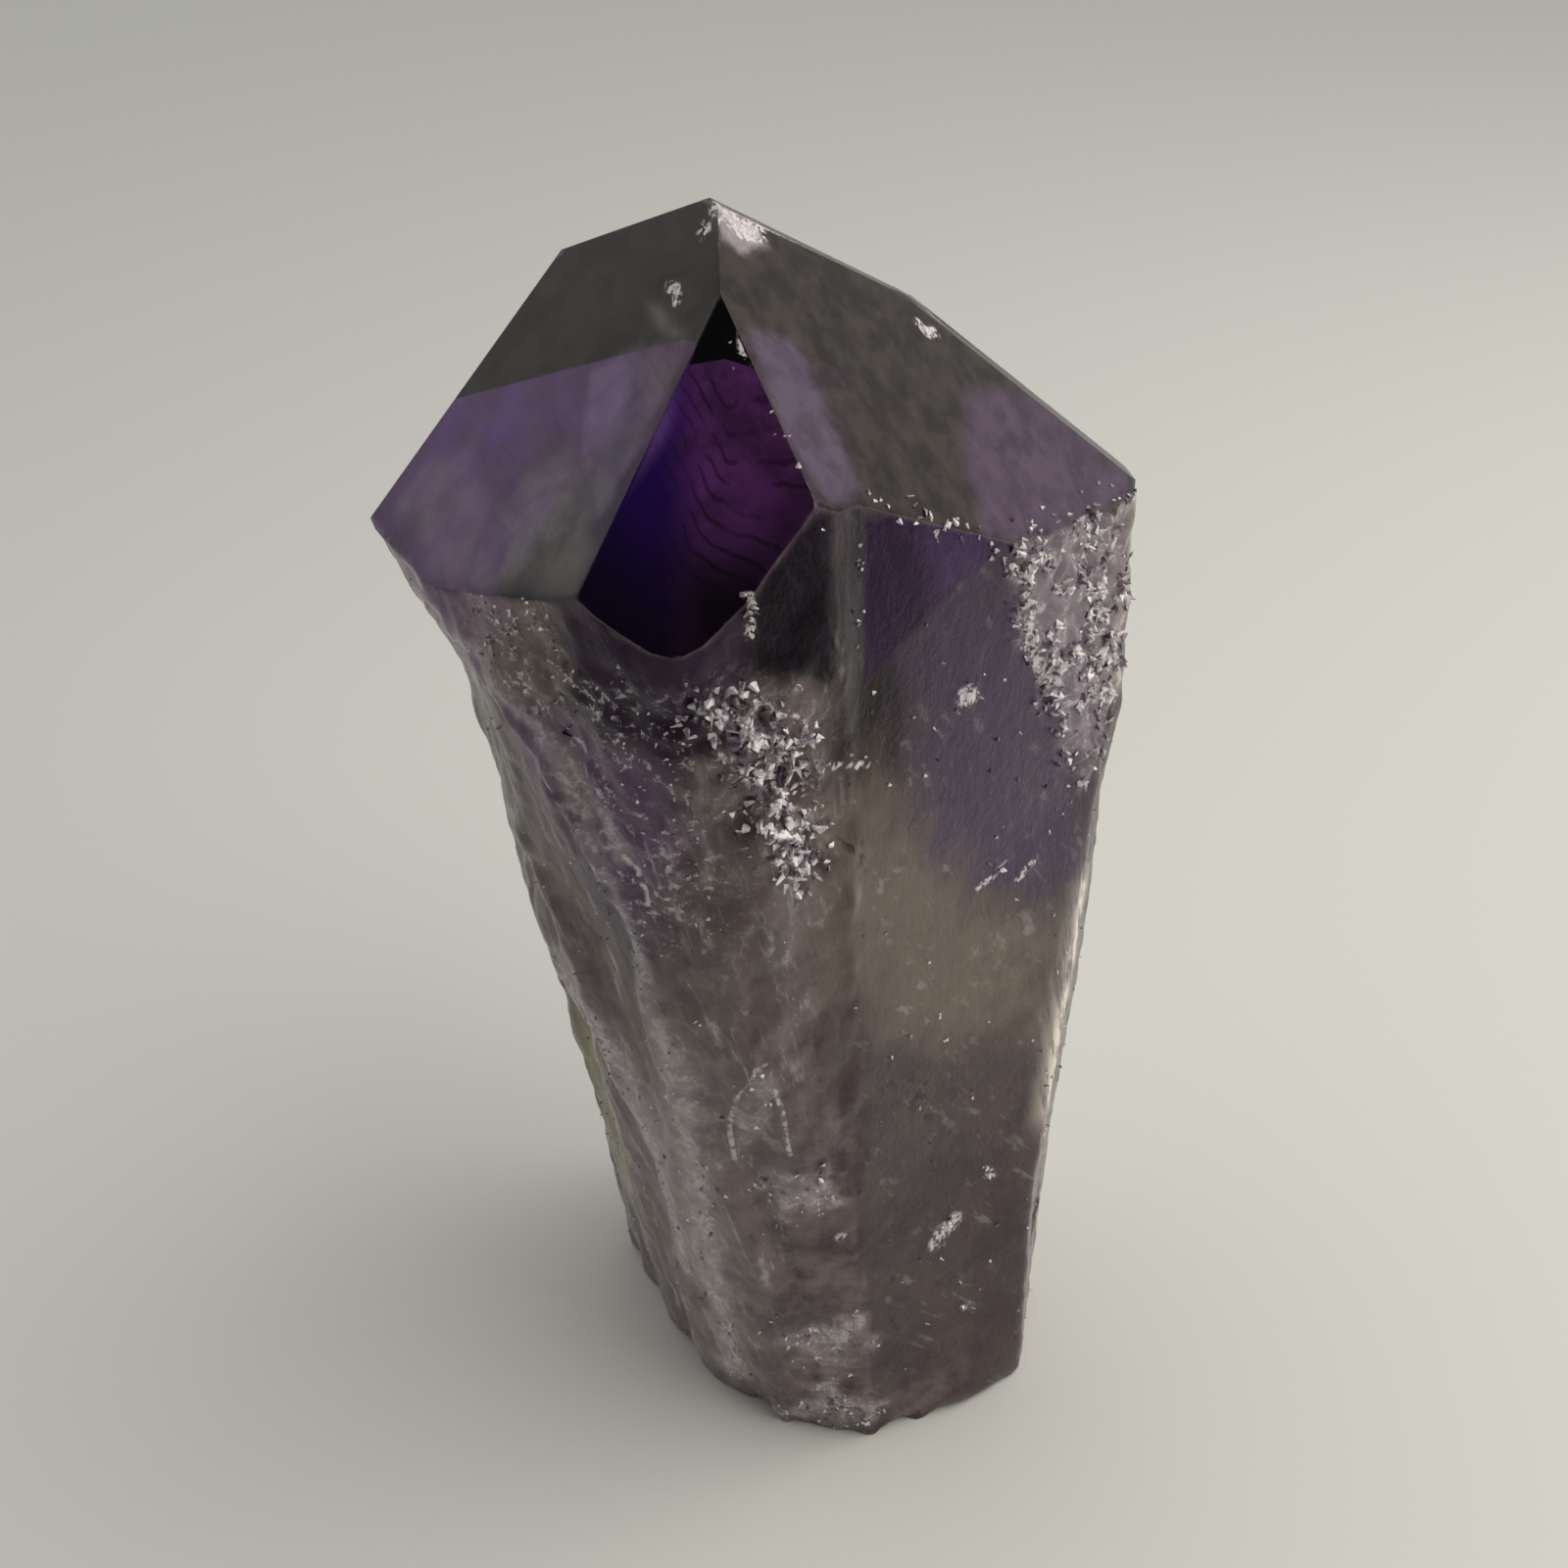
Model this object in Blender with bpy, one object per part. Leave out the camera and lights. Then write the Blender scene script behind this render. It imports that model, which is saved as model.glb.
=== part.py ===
"""Phantom amethyst point: one naturally grown quartz crystal, standing on its flat broken base.

The crystal is a tapering six-sided column under a point of six sloping faces. The column is a
sheet of quads rolled into a tube, whose corners follow lines that run from the base to the
shoulder. The point's flat faces and the narrow bevels are then cut with planes, and the chips
with balls. Heights and places are in millimetres from the front corner of the base: +X to the
right, +Y to the back, +Z up along the crystal's long axis. The last step turns them to metres
and moves the origin to the middle of the base.
"""
import math

import bmesh
import bpy
import numpy as np
from mathutils import Vector, noise

MM = 0.001

# Column: each corner line gives (height, x, y), and the lines go round anticlockwise from above,
# starting at the prism edge that faces the viewer.
CORNER_LINES = {
    "front_edge": ((0, 0.0, 0.0), (50, 0.1, 0.6), (97, -0.1, 1.3)),
    "right_front": ((0, 17.8, 7.7), (25, 18.5, 11.5), (50, 22.6, 20.3), (70, 24.2, 25.0),
                    (84, 20.4, 20.5), (104, 12.6, 11.3)),
    "right_shoulder": ((0, 20.8, 21.0), (25, 22.8, 24.0), (50, 25.5, 27.5), (70, 26.4, 29.5),
                       (78, 27.9, 31.0), (99, 28.2, 31.8)),
    "back_right": ((0, 12.0, 39.5), (40, 14.0, 42.0), (75, 15.0, 44.0), (100, 16.5, 45.5)),
    "back_left": ((0, -17.0, 43.0), (45, -20.0, 45.5), (80, -22.5, 46.5), (102, -24.0, 48.0)),
    "left_back": ((0, -28.4, 33.5), (45, -31.4, 35.0), (88, -34.9, 34.5), (97, -37.6, 33.5),
                  (104, -40.0, 32.0)),
    "left_shoulder": ((0, -26.0, 24.8), (25, -28.5, 25.0), (50, -31.4, 23.5), (68, -33.2, 22.3),
                      (84, -34.4, 21.0), (92, -34.9, 20.4), (98, -38.2, 19.2), (105, -40.6, 18.2)),
    "left_front": ((0, -21.5, 14.6), (45, -25.4, 10.8), (73, -27.4, 8.8), (88, -29.0, 7.0),
                   (104, -33.2, 6.6)),
    "face_left": ((0, -14.6, 6.1), (45, -16.9, 1.6), (84, -19.6, -2.4), (106, -21.0, -5.2)),
    "face_middle": ((0, -9.1, 2.7), (45, -11.5, -1.9), (84, -13.2, -5.2), (99, -13.2, -7.0),
                    (104, -13.4, -8.6)),
    "face_right": ((0, -5.0, 1.4), (45, -6.3, -1.4), (84, -7.9, -4.6), (104, -8.2, -5.5)),
    "strip_left": ((0, -1.1, 0.4), (50, -0.9, 0.2), (93, -1.2, 0.4), (97, -1.6, -0.8)),
}
# Quads along each side, from its corner line to the next one.
SIDE_QUADS = (8, 9, 6, 9, 7, 6, 7, 7, 4, 3, 3, 1)
SHARP_CORNERS = ("front_edge", "right_front", "back_right", "face_right", "strip_left")
COLUMN_TOP = 134.0
ROWS = 56
SOFTEN_PASSES = 2

# Point: each face by three of its corners.
APEX = (-9.4, 15.0, 130.9)
RIDGE_FOOT = (-9.4, 7.3, 126.6)
DARK_FACE_LEFT = (-20.8, -5.5, 109.0)
DARK_FACE_RIGHT = (-3.3, -1.9, 114.4)
STRIP_TOP = (-0.1, 1.3, 112.7)
LEFT_TOP = (-22.4, 24.8, 124.5)
LEFT_SHOULDER = (-39.9, 18.4, 104.8)
RIGHT_RIDGE = (4.8, 24.1, 120.0)
RIGHT_SHOULDER = (27.1, 31.5, 99.0)
BACK_APEX = (-9.3, 15.3, 131.2)
BACK_RIDGE = (4.95, 24.8, 120.8)
BACK_LEFT_SLOPE = (166.0, 51.8)     # azimuth and tilt from upright of the face's normal, degrees
BACK_RIGHT_SLOPE = (45.0, 45.0)
BACK_STANDS_OUT = 1.1               # how far the back right face stands out of its edge's points
BEVEL_SHARE = 0.45                  # how far the bevels beside the back faces turn to the back

# Relief of the natural surfaces.
RIDGE_SKEW = 0.34                   # ridges drift towards the front edge as they run down
RIDGE_SPACING = 7.0
RIDGE_LENGTH = 45.0
RIDGE_HEIGHT = 1.1
LUMP_SIZE = 3.4
LUMP_HEIGHT = 0.45

# Ridges that cross the rough left side: each one's line as (height, x) from its top to its foot,
# then its crest's height and the depth of the furrow on its left.
CROSSING_RIDGES = (
    (((103, -33.3), (97, -28.7), (92, -25.2), (85, -21.6), (73, -17.9), (50, -18.0), (20, -17.0)),
     1.2, 1.1),
    (((66, -31.5), (58, -28.4), (52, -25.8), (47, -23.0), (37, -20.4), (20, -19.4), (4, -17.0)),
     1.3, 0.9),
    (((88, -33.0), (72, -27.8), (60, -24.6), (44, -22.6)), 0.9, 0.8),
)
RIDGE_WIDTH = 1.3

# Chips, each a ball that bites into the crystal: centre and radius.
CHIPS = {
    "base_chip": ((4.6, -2.6, -1.2), 5.0),
    "right_chip": ((22.6, 13.6, 17.5), 4.4),
    "ridge_chip": ((9.2, 26.8, 118.9), 2.4),
    "left_chip": ((-38.5, 12.0, 90.5), 4.6),
    "back_chip": ((3.0, 49.5, 14.0), 7.5),
}


def remove_startup_objects():
    for item in list(bpy.data.objects):
        bpy.data.objects.remove(item, do_unlink=True)


def new_collection(name):
    group = bpy.data.collections.new(name)
    bpy.context.scene.collection.children.link(group)
    return group


def quartz_material():
    """Smoky violet quartz: colour, gloss and see-through as seen on the whole crystal."""
    material = bpy.data.materials.new("amethyst_quartz")
    material.use_nodes = True
    shader = material.node_tree.nodes["Principled BSDF"]
    shader.inputs["Base Color"].default_value = (0.20, 0.12, 0.24, 1.0)
    shader.inputs["Roughness"].default_value = 0.12
    shader.inputs["Metallic"].default_value = 0.0
    shader.inputs["IOR"].default_value = 1.544
    shader.inputs["Transmission Weight"].default_value = 0.6
    material.diffuse_color = (0.32, 0.22, 0.38, 1.0)
    return material


def corner_at(line, height):
    heights, xs, ys = zip(*line)
    return np.array([np.interp(height, heights, xs), np.interp(height, heights, ys)])


def outline_at(height):
    """Closed outline of the column at one height, rounded except at its sharp corners."""
    names = list(CORNER_LINES)
    corners = [corner_at(CORNER_LINES[name], height) for name in names]
    points, locked = [], []
    for index, quads in enumerate(SIDE_QUADS):
        start, end = corners[index], corners[(index + 1) % len(corners)]
        for step in range(quads):
            points.append(start + (end - start) * step / quads)
            locked.append(step == 0 and names[index] in SHARP_CORNERS)
    points = np.array(points)
    for _ in range(SOFTEN_PASSES):
        middle = (np.roll(points, 1, axis=0) + np.roll(points, -1, axis=0)) / 2
        soft = 0.5 * points + 0.5 * middle
        points = np.where(np.array(locked)[:, None], points, soft)
    return points


def outward_normals(points):
    along = np.roll(points, -1, axis=0) - np.roll(points, 1, axis=0)
    outward = np.stack([along[:, 1], -along[:, 0]], axis=1)
    return outward / np.linalg.norm(outward, axis=1)[:, None]


def ramp(value, low, high):
    """0 below low, 1 above high, smooth between; low may be the larger of the two."""
    t = min(1.0, max(0.0, (value - low) / (high - low)))
    return t * t * (3 - 2 * t)


def bump(value, centre, width):
    return math.exp(-((value - centre) / width) ** 2)


def side_weights(side, height):
    """How rough the surface is on this side (0 front edge to 12 round again) and height."""
    left = ramp(side, 4.2, 5.2) * ramp(side, 10.0, 9.0) * ramp(height, 106, 99)
    back = ramp(side, 2.6, 3.2) * ramp(side, 5.4, 4.6) * ramp(height, 104, 96)
    right = ramp(side, 0.75, 1.15) * ramp(side, 3.3, 2.6)
    right *= ramp(height, 62, 76) * ramp(height, 107, 102)
    druse = ramp(side, 8.4, 9.4) * bump(height, 88, 15)
    front = ramp(side, 7.6, 8.6) * ramp(height, 106, 96)
    return left, back, right, druse, front


def relief(side, around, x, y, height):
    """Height of the natural relief, outwards, at one point of the column."""
    left, back, right, druse, front = side_weights(side, height)
    across = around + RIDGE_SKEW * height
    ridge = noise.noise(Vector((across / RIDGE_SPACING, height / RIDGE_LENGTH, 3.7)))
    fine_ridge = noise.noise(Vector((across / RIDGE_SPACING * 2.3, height / RIDGE_LENGTH * 2.0, 9.1)))
    ridges = RIDGE_HEIGHT * (0.5 - 2.2 * abs(ridge)) + 0.5 * RIDGE_HEIGHT * fine_ridge
    lumps = LUMP_HEIGHT * noise.noise(Vector((x, y, height)) / LUMP_SIZE)
    broad = noise.noise(Vector((x / 14.0, y / 14.0, height / 22.0)))
    pits = noise.noise(Vector((x / 4.2, y / 4.2, height / 5.5 + 20.0)))
    out = left * (ridges + lumps)
    out += back * (0.45 * ridges + 0.8 * broad + lumps)
    out += right * (1.6 * lumps - 1.1 * max(0.0, pits) + 0.3)
    out += druse * (2.4 * lumps + 0.4)
    out += front * (0.35 * ridges + 0.5 * broad + lumps) * (1.0 - left)
    return out


def crossing_ridge(line, crest, furrow, x, height):
    """A ledge: steep on its left, where a furrow follows it, and fading slowly to its right."""
    heights, xs = zip(*reversed(line))
    beside = x - float(np.interp(height, heights, xs))
    ends = ramp(height, heights[0] - 4, heights[0] + 5) * ramp(height, heights[-1] + 3, heights[-1] - 4)
    if beside > 0:
        return ends * crest * math.exp(-beside / (3 * RIDGE_WIDTH))
    rise = math.exp(-(beside / RIDGE_WIDTH) ** 2)
    return ends * ((crest + furrow) * rise - furrow * math.exp(beside / (4 * RIDGE_WIDTH)))


def special_forms(side, x, y, height):
    """The forms that are seen one by one: crossing ridges, a tongue, a scar and the base's lip."""
    out = 0.0
    if side > 5.5 and y < 30:
        out += sum(crossing_ridge(*ridge, x, height) for ridge in CROSSING_RIDGES)
    tongue = 0.9 * bump(x, -23.4 + 0.2 * (92 - height), 1.7) * ramp(height, 74, 82) * ramp(height, 95, 91)
    scar = -1.1 * bump(x, -10.6, 2.2) * bump(height, 44, 7.0)
    lip = 1.3 * bump(side, 0.6, 0.3) * ramp(height, 14, 2)
    if side > 6:
        out += tongue + scar
    return out + lip


def column_point(column, height):
    """One point of the finished column's surface; column counts the quads round it."""
    total = sum(SIDE_QUADS)
    points = outline_at(height)
    normals = outward_normals(points)
    steps = np.linalg.norm(np.roll(points, -1, axis=0) - points, axis=1)
    index = column % total
    starts = np.cumsum((0,) + SIDE_QUADS)
    side_index = int(np.searchsorted(starts, index, side="right")) - 1
    side = side_index + (index - starts[side_index]) / SIDE_QUADS[side_index]
    around = steps[:index].sum()
    if around > steps.sum() / 2:
        around -= steps.sum()
    x, y = points[index]
    out = relief(side, around, x, y, height) + special_forms(side, x, y, height)
    return points[index] + normals[index] * out


def make_column():
    """A sheet of quads rolled into a tube round the corner lines, closed at both ends."""
    bm = bmesh.new()
    columns = sum(SIDE_QUADS)
    bmesh.ops.create_grid(bm, x_segments=columns, y_segments=ROWS, size=1.0)
    for vert in bm.verts:
        column = round((vert.co.x + 1) / 2 * columns)
        height = (vert.co.y + 1) / 2 * COLUMN_TOP
        x, y = column_point(column, height)
        vert.co = (x, y, height)
    bmesh.ops.remove_doubles(bm, verts=bm.verts, dist=0.01)
    bmesh.ops.holes_fill(bm, edges=[edge for edge in bm.edges if edge.is_boundary])
    bmesh.ops.recalc_face_normals(bm, faces=bm.faces)
    return bm


def plane_through(a, b, c):
    a, b, c = Vector(a), Vector(b), Vector(c)
    normal = (b - a).cross(c - a).normalized()
    if normal.z < 0:
        normal = -normal
    return a, normal


def sloped_plane(point, slope):
    azimuth, tilt = map(math.radians, slope)
    normal = (math.sin(tilt) * math.cos(azimuth), math.sin(tilt) * math.sin(azimuth), math.cos(tilt))
    return Vector(point), Vector(normal)


def moved_out(plane, distance):
    point, normal = plane
    return point + normal * distance, normal


def bevel_plane(point, first, second):
    """A plane between two others, through a point of their common ridge."""
    normal = first[1] * (1 - BEVEL_SHARE) + second[1] * BEVEL_SHARE
    return Vector(point), normal.normalized()


def cut_flat(bm, plane):
    """Cut away what is outside the plane and close the cut with one flat face."""
    point, normal = plane
    bmesh.ops.bisect_plane(bm, geom=bm.verts[:] + bm.edges[:] + bm.faces[:], dist=1e-4,
                           plane_co=point, plane_no=normal, clear_outer=True)
    bmesh.ops.holes_fill(bm, edges=[edge for edge in bm.edges if edge.is_boundary])


def cut_point(bm):
    """The six sloping faces of the point, and the bevels on its right-hand ridges."""
    left_face = plane_through(APEX, RIDGE_FOOT, DARK_FACE_LEFT)
    dark_face = plane_through(RIDGE_FOOT, DARK_FACE_LEFT, DARK_FACE_RIGHT)
    right_face = plane_through(APEX, RIDGE_FOOT, STRIP_TOP)
    back_face = plane_through(BACK_APEX, LEFT_TOP, BACK_RIDGE)
    back_left = sloped_plane(LEFT_SHOULDER, BACK_LEFT_SLOPE)
    back_right = moved_out(sloped_plane(RIGHT_SHOULDER, BACK_RIGHT_SLOPE), BACK_STANDS_OUT)
    for plane in (left_face, dark_face, right_face, back_face, back_left, back_right):
        cut_flat(bm, plane)
    for plane in (back_face, back_right):
        cut_flat(bm, bevel_plane(RIGHT_RIDGE, right_face, plane))


def add_crystal(group, material):
    bm = make_column()
    cut_point(bm)
    bmesh.ops.dissolve_degenerate(bm, dist=0.02, edges=bm.edges)
    bmesh.ops.recalc_face_normals(bm, faces=bm.faces)
    for vert in bm.verts:
        vert.co *= MM
    mesh = bpy.data.meshes.new("crystal_point")
    bm.to_mesh(mesh)
    bm.free()
    crystal = bpy.data.objects.new("crystal_point", mesh)
    group.objects.link(crystal)
    mesh.materials.append(material)
    return crystal


def add_chip(group, crystal, name, centre, radius):
    """A ball of a few flat faces, taken out of the crystal with a Boolean."""
    bm = bmesh.new()
    bmesh.ops.create_icosphere(bm, subdivisions=2, radius=radius * MM)
    mesh = bpy.data.meshes.new(name)
    bm.to_mesh(mesh)
    bm.free()
    ball = bpy.data.objects.new(name, mesh)
    ball.location = Vector(centre) * MM
    ball.hide_render = True
    ball.display_type = "WIRE"
    group.objects.link(ball)
    cut = crystal.modifiers.new(name, "BOOLEAN")
    cut.operation = "DIFFERENCE"
    cut.solver = "EXACT"
    cut.object = ball


def finish_mesh(crystal):
    """Apply the cuts, split the faces to triangles and put the origin under the middle."""
    bpy.context.view_layer.update()
    depsgraph = bpy.context.evaluated_depsgraph_get()
    cut_mesh = bpy.data.meshes.new_from_object(crystal.evaluated_get(depsgraph))
    crystal.modifiers.clear()
    old_mesh, crystal.data = crystal.data, cut_mesh
    bpy.data.meshes.remove(old_mesh)
    cut_mesh.name = "crystal_point"
    bm = bmesh.new()
    bm.from_mesh(cut_mesh)
    bmesh.ops.remove_doubles(bm, verts=bm.verts, dist=0.02 * MM)
    bmesh.ops.triangulate(bm, faces=bm.faces)
    places = np.array([vert.co for vert in bm.verts])
    low, high = places.min(axis=0), places.max(axis=0)
    middle = Vector(((low[0] + high[0]) / 2, (low[1] + high[1]) / 2, low[2]))
    bmesh.ops.translate(bm, verts=bm.verts, vec=-middle)
    bm.to_mesh(cut_mesh)
    bm.free()
    print("origin from the front corner, mm:", [round(value / MM, 3) for value in middle])
    print("size, mm:", [round(value / MM, 2) for value in high - low], "faces:", len(cut_mesh.polygons))


def main():
    remove_startup_objects()
    group = new_collection("phantom_amethyst_point")
    cutters = new_collection("cutters")
    crystal = add_crystal(group, quartz_material())
    for name, (centre, radius) in CHIPS.items():
        add_chip(cutters, crystal, name, centre, radius)
    finish_mesh(crystal)


main()
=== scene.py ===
# %% [markdown]
# # Phantom amethyst point
# This lesson dresses one natural quartz crystal. A phantom is the ghost of a younger crystal:
# growth paused, a thin dust settled on the point, and clear quartz then grew over it. Three things
# make its looks: a clear skin of quartz that bends what is seen through it, veils and flecks on
# that skin, and a cloudy core that carries the phantom. Lengths below are in millimetres.

# %% Load the frame
import math

import bmesh
import bpy
import numpy as np
from mathutils import Matrix, Vector, noise
from mathutils.geometry import delaunay_2d_cdt


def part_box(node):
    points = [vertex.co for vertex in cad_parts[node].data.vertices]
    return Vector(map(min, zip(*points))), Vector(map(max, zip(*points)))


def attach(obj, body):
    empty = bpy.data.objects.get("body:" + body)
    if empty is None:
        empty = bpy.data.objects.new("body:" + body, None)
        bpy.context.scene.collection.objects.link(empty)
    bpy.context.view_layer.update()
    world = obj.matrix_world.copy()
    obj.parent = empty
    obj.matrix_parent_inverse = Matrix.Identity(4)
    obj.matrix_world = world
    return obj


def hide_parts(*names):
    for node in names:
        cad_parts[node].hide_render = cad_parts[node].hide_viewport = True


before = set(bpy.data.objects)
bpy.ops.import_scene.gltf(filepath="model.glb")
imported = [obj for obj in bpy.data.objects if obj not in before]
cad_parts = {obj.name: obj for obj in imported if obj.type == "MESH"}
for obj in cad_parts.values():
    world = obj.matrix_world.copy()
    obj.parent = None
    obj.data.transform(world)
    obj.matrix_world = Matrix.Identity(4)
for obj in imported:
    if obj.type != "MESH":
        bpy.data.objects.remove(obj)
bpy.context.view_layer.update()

MM = 0.001
NODE = "crystal_point"

# %% [markdown]
# ## Camera
# The photograph looks down at the crystal from close by. The camera's place, pitch, roll and focal
# length were solved from it. The camera is built from its three axes, so that a small roll needs
# no chain of Euler turns.

# %% Camera
CAMERA_PLACE = (-0.045, -131.57, 169.0)
PITCH_DOWN, ROLL = math.radians(35.6), math.radians(-2.3)
FOCAL_SHARE = 1751.0 / 1600.0       # focal length as a share of the picture's width
SENSOR_WIDTH = 36.0


def camera_axes(pitch, roll):
    """Right, down and forward of a camera that looks along +Y, pitched down and then rolled."""
    forward = Vector((0.0, math.cos(pitch), -math.sin(pitch)))
    right = Vector((1.0, 0.0, 0.0))
    down = forward.cross(right)
    turned_right = math.cos(roll) * right - math.sin(roll) * down
    turned_down = math.sin(roll) * right + math.cos(roll) * down
    return turned_right, turned_down, forward


def add_camera():
    right, down, forward = camera_axes(PITCH_DOWN, ROLL)
    data = bpy.data.cameras.new("photo_view")
    data.sensor_width = SENSOR_WIDTH
    data.lens = FOCAL_SHARE * SENSOR_WIDTH
    data.clip_start = 0.001
    camera = bpy.data.objects.new("photo_view", data)
    bpy.context.scene.collection.objects.link(camera)
    place = Matrix.Translation(Vector(CAMERA_PLACE) * MM)
    camera.matrix_world = place @ Matrix((right, -down, -forward)).transposed().to_4x4()
    bpy.context.scene.camera = camera
    return camera


print("lens, mm:", round(add_camera().data.lens, 2))

# %% [markdown]
# ## Small helpers for materials
# Every colour below is written as an sRGB hex value, the way a picture editor shows it, and one
# function turns it to the linear values that a shader needs. One more function adds a node, sets
# its options and sockets, and makes its links.

# %% Material helpers
def linear(hex_colour):
    """sRGB hex to a linear RGBA tuple."""
    parts = [int(hex_colour[i:i + 2], 16) / 255 for i in (1, 3, 5)]
    return tuple(c / 12.92 if c <= 0.04045 else ((c + 0.055) / 1.055) ** 2.4 for c in parts) + (1.0,)


def add(tree, kind, sockets=None, **options):
    """Add a node. Options are its own settings; a socket takes a value or another node's output."""
    node = tree.nodes.new(kind)
    for name, value in options.items():
        setattr(node, name, value)
    for key, value in (sockets or {}).items():
        if isinstance(value, bpy.types.NodeSocket):
            tree.links.new(value, node.inputs[key])
        else:
            node.inputs[key].default_value = value
    return node


def new_material(name):
    """A material with only its output node."""
    material = bpy.data.materials.new(name)
    material.use_nodes = True
    tree = material.node_tree
    for node in list(tree.nodes):
        if node.type != "OUTPUT_MATERIAL":
            tree.nodes.remove(node)
    return material, tree, next(n for n in tree.nodes if n.type == "OUTPUT_MATERIAL")


def maths(tree, operation, *values, clamp=False):
    """One Math node and its output."""
    sockets = dict(enumerate(values))
    return add(tree, "ShaderNodeMath", sockets, operation=operation, use_clamp=clamp).outputs[0]


def mix_colour(tree, factor, first, second):
    """Blend two colours; 6 and 7 are the colour sockets of the Mix node."""
    node = add(tree, "ShaderNodeMix", {0: factor, 6: first, 7: second}, data_type="RGBA")
    return node.outputs[2]


def ranged(tree, value, low, high, to_low=0.0, to_high=1.0):
    """Smoothly map a value from one range to another, clamped at both ends."""
    sockets = {0: value, 1: low, 2: high, 3: to_low, 4: to_high}
    return add(tree, "ShaderNodeMapRange", sockets, interpolation_type="SMOOTHSTEP").outputs[0]


def named_mask(tree, name):
    """A mask that is stored on the mesh, one number for each point."""
    return add(tree, "ShaderNodeAttribute", attribute_name=name).outputs["Fac"]


# %% [markdown]
# ## Floor and light
# The crystal stands on a plain pale surface. A clear thing shows what is round it, so most of the
# light is one wide soft dome. The dome is darker behind the camera, which leaves the face that
# looks at the viewer almost free of gloss. One large softbox on the right lifts that side of the
# floor and makes the small crystals glint.

# %% Floor and light
FLOOR_HALF = 1500.0
DOME_HORIZON, DOME_TOP = 0.42, 1.0
DOME_RISE = (0.1, 0.95)                      # height on the dome where it starts and ends to brighten
RIGHT_GLOW = 0.10
DARK_SHARE = 0.06                            # what is left of the dome's light behind the camera
DARK_SIDE = Vector((0.0, -0.80, 0.60))       # from the crystal towards the camera
DARK_CONE = (0.35, 0.90)                     # cosines to that side where the dark starts and is full
GLOW_SIDE = Vector((0.90, 0.36, 0.22))       # what the right-hand face mirrors to the camera
GLOW_CONE = (0.70, 0.97)
SOFTBOX_PLACE = (350.0, -60.0, 420.0)
SOFTBOX_SIDE = 600.0
SOFTBOX_POWER = 2.0                          # watts
BOARD, DOME, WARM_WHITE = "#DDDED9", "#F6F4F1", "#FFF9F0"


def add_floor():
    bm = bmesh.new()
    bmesh.ops.create_grid(bm, x_segments=2, y_segments=2, size=FLOOR_HALF * MM)
    mesh = bpy.data.meshes.new("floor")
    bm.to_mesh(mesh)
    bm.free()
    floor = bpy.data.objects.new("floor", mesh)
    bpy.context.scene.collection.objects.link(floor)
    material, tree, out = new_material("matt_white_board")
    shader = add(tree, "ShaderNodeBsdfPrincipled", {"Base Color": linear(BOARD), "Roughness": 0.6})
    shader.inputs["Specular IOR Level"].default_value = 0.25
    tree.links.new(shader.outputs[0], out.inputs["Surface"])
    mesh.materials.append(material)


def add_dome():
    world = bpy.data.worlds.new("soft_dome")
    bpy.context.scene.world = world
    world.use_nodes = True
    tree = world.node_tree
    tree.nodes.clear()
    way = add(tree, "ShaderNodeTexCoord").outputs["Generated"]
    up = add(tree, "ShaderNodeSeparateXYZ", {0: way}).outputs["Z"]
    front, right = (add(tree, "ShaderNodeVectorMath", {0: way, 1: side},
                        operation="DOT_PRODUCT").outputs["Value"] for side in (DARK_SIDE, GLOW_SIDE))
    strength = ranged(tree, up, *DOME_RISE, DOME_HORIZON, DOME_TOP)
    strength = maths(tree, "ADD", strength, ranged(tree, right, *GLOW_CONE, 0.0, RIGHT_GLOW))
    strength = maths(tree, "MULTIPLY", strength, ranged(tree, front, *DARK_CONE, 1.0, DARK_SHARE))
    light = add(tree, "ShaderNodeBackground", {"Color": linear(DOME), "Strength": strength})
    out = add(tree, "ShaderNodeOutputWorld")
    tree.links.new(light.outputs[0], out.inputs["Surface"])


def add_softbox():
    data = bpy.data.lights.new("softbox", "AREA")
    data.size = SOFTBOX_SIDE * MM
    data.energy = SOFTBOX_POWER
    data.color = linear(WARM_WHITE)[:3]
    softbox = bpy.data.objects.new("softbox", data)
    bpy.context.scene.collection.objects.link(softbox)
    place = Vector(SOFTBOX_PLACE) * MM
    softbox.location = place
    softbox.rotation_mode = "QUATERNION"
    softbox.rotation_quaternion = (-place).to_track_quat("-Z", "Y")


add_floor()
add_dome()
add_softbox()
bpy.context.scene.view_settings.view_transform = "Standard"
print("floor, dome from", DOME_HORIZON, "to", DOME_TOP, "and a softbox of", SOFTBOX_POWER, "watts")

# %% [markdown]
# ## The crystal's flat faces
# The solid in the frame already has the right outline: a six-sided column under a point of
# sloping faces. The point's faces are flat and glossy, and the column is ridged and etched, so
# the two need different treatment. A flat face is found by walking from triangle to triangle for
# as long as their normals agree.

# %% Flat faces
SAME_WAY = 0.9995                    # how alike two normals are, as a cosine
LEAST_FLAT_AREA = 12.0               # smaller flat patches are not faces of the point
JOIN_WITHIN = 0.002                  # points closer than this are one
LEAST_SLOPE = 0.3                    # the point's faces look at least this much upwards


def merged_copy():
    """The solid's mesh with its loose triangles joined, in millimetres."""
    bm = bmesh.new()
    bm.from_mesh(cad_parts[NODE].data)
    bmesh.ops.scale(bm, vec=(1 / MM,) * 3, verts=bm.verts)
    bmesh.ops.remove_doubles(bm, verts=bm.verts, dist=JOIN_WITHIN)
    bmesh.ops.recalc_face_normals(bm, faces=bm.faces)
    return bm


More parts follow.
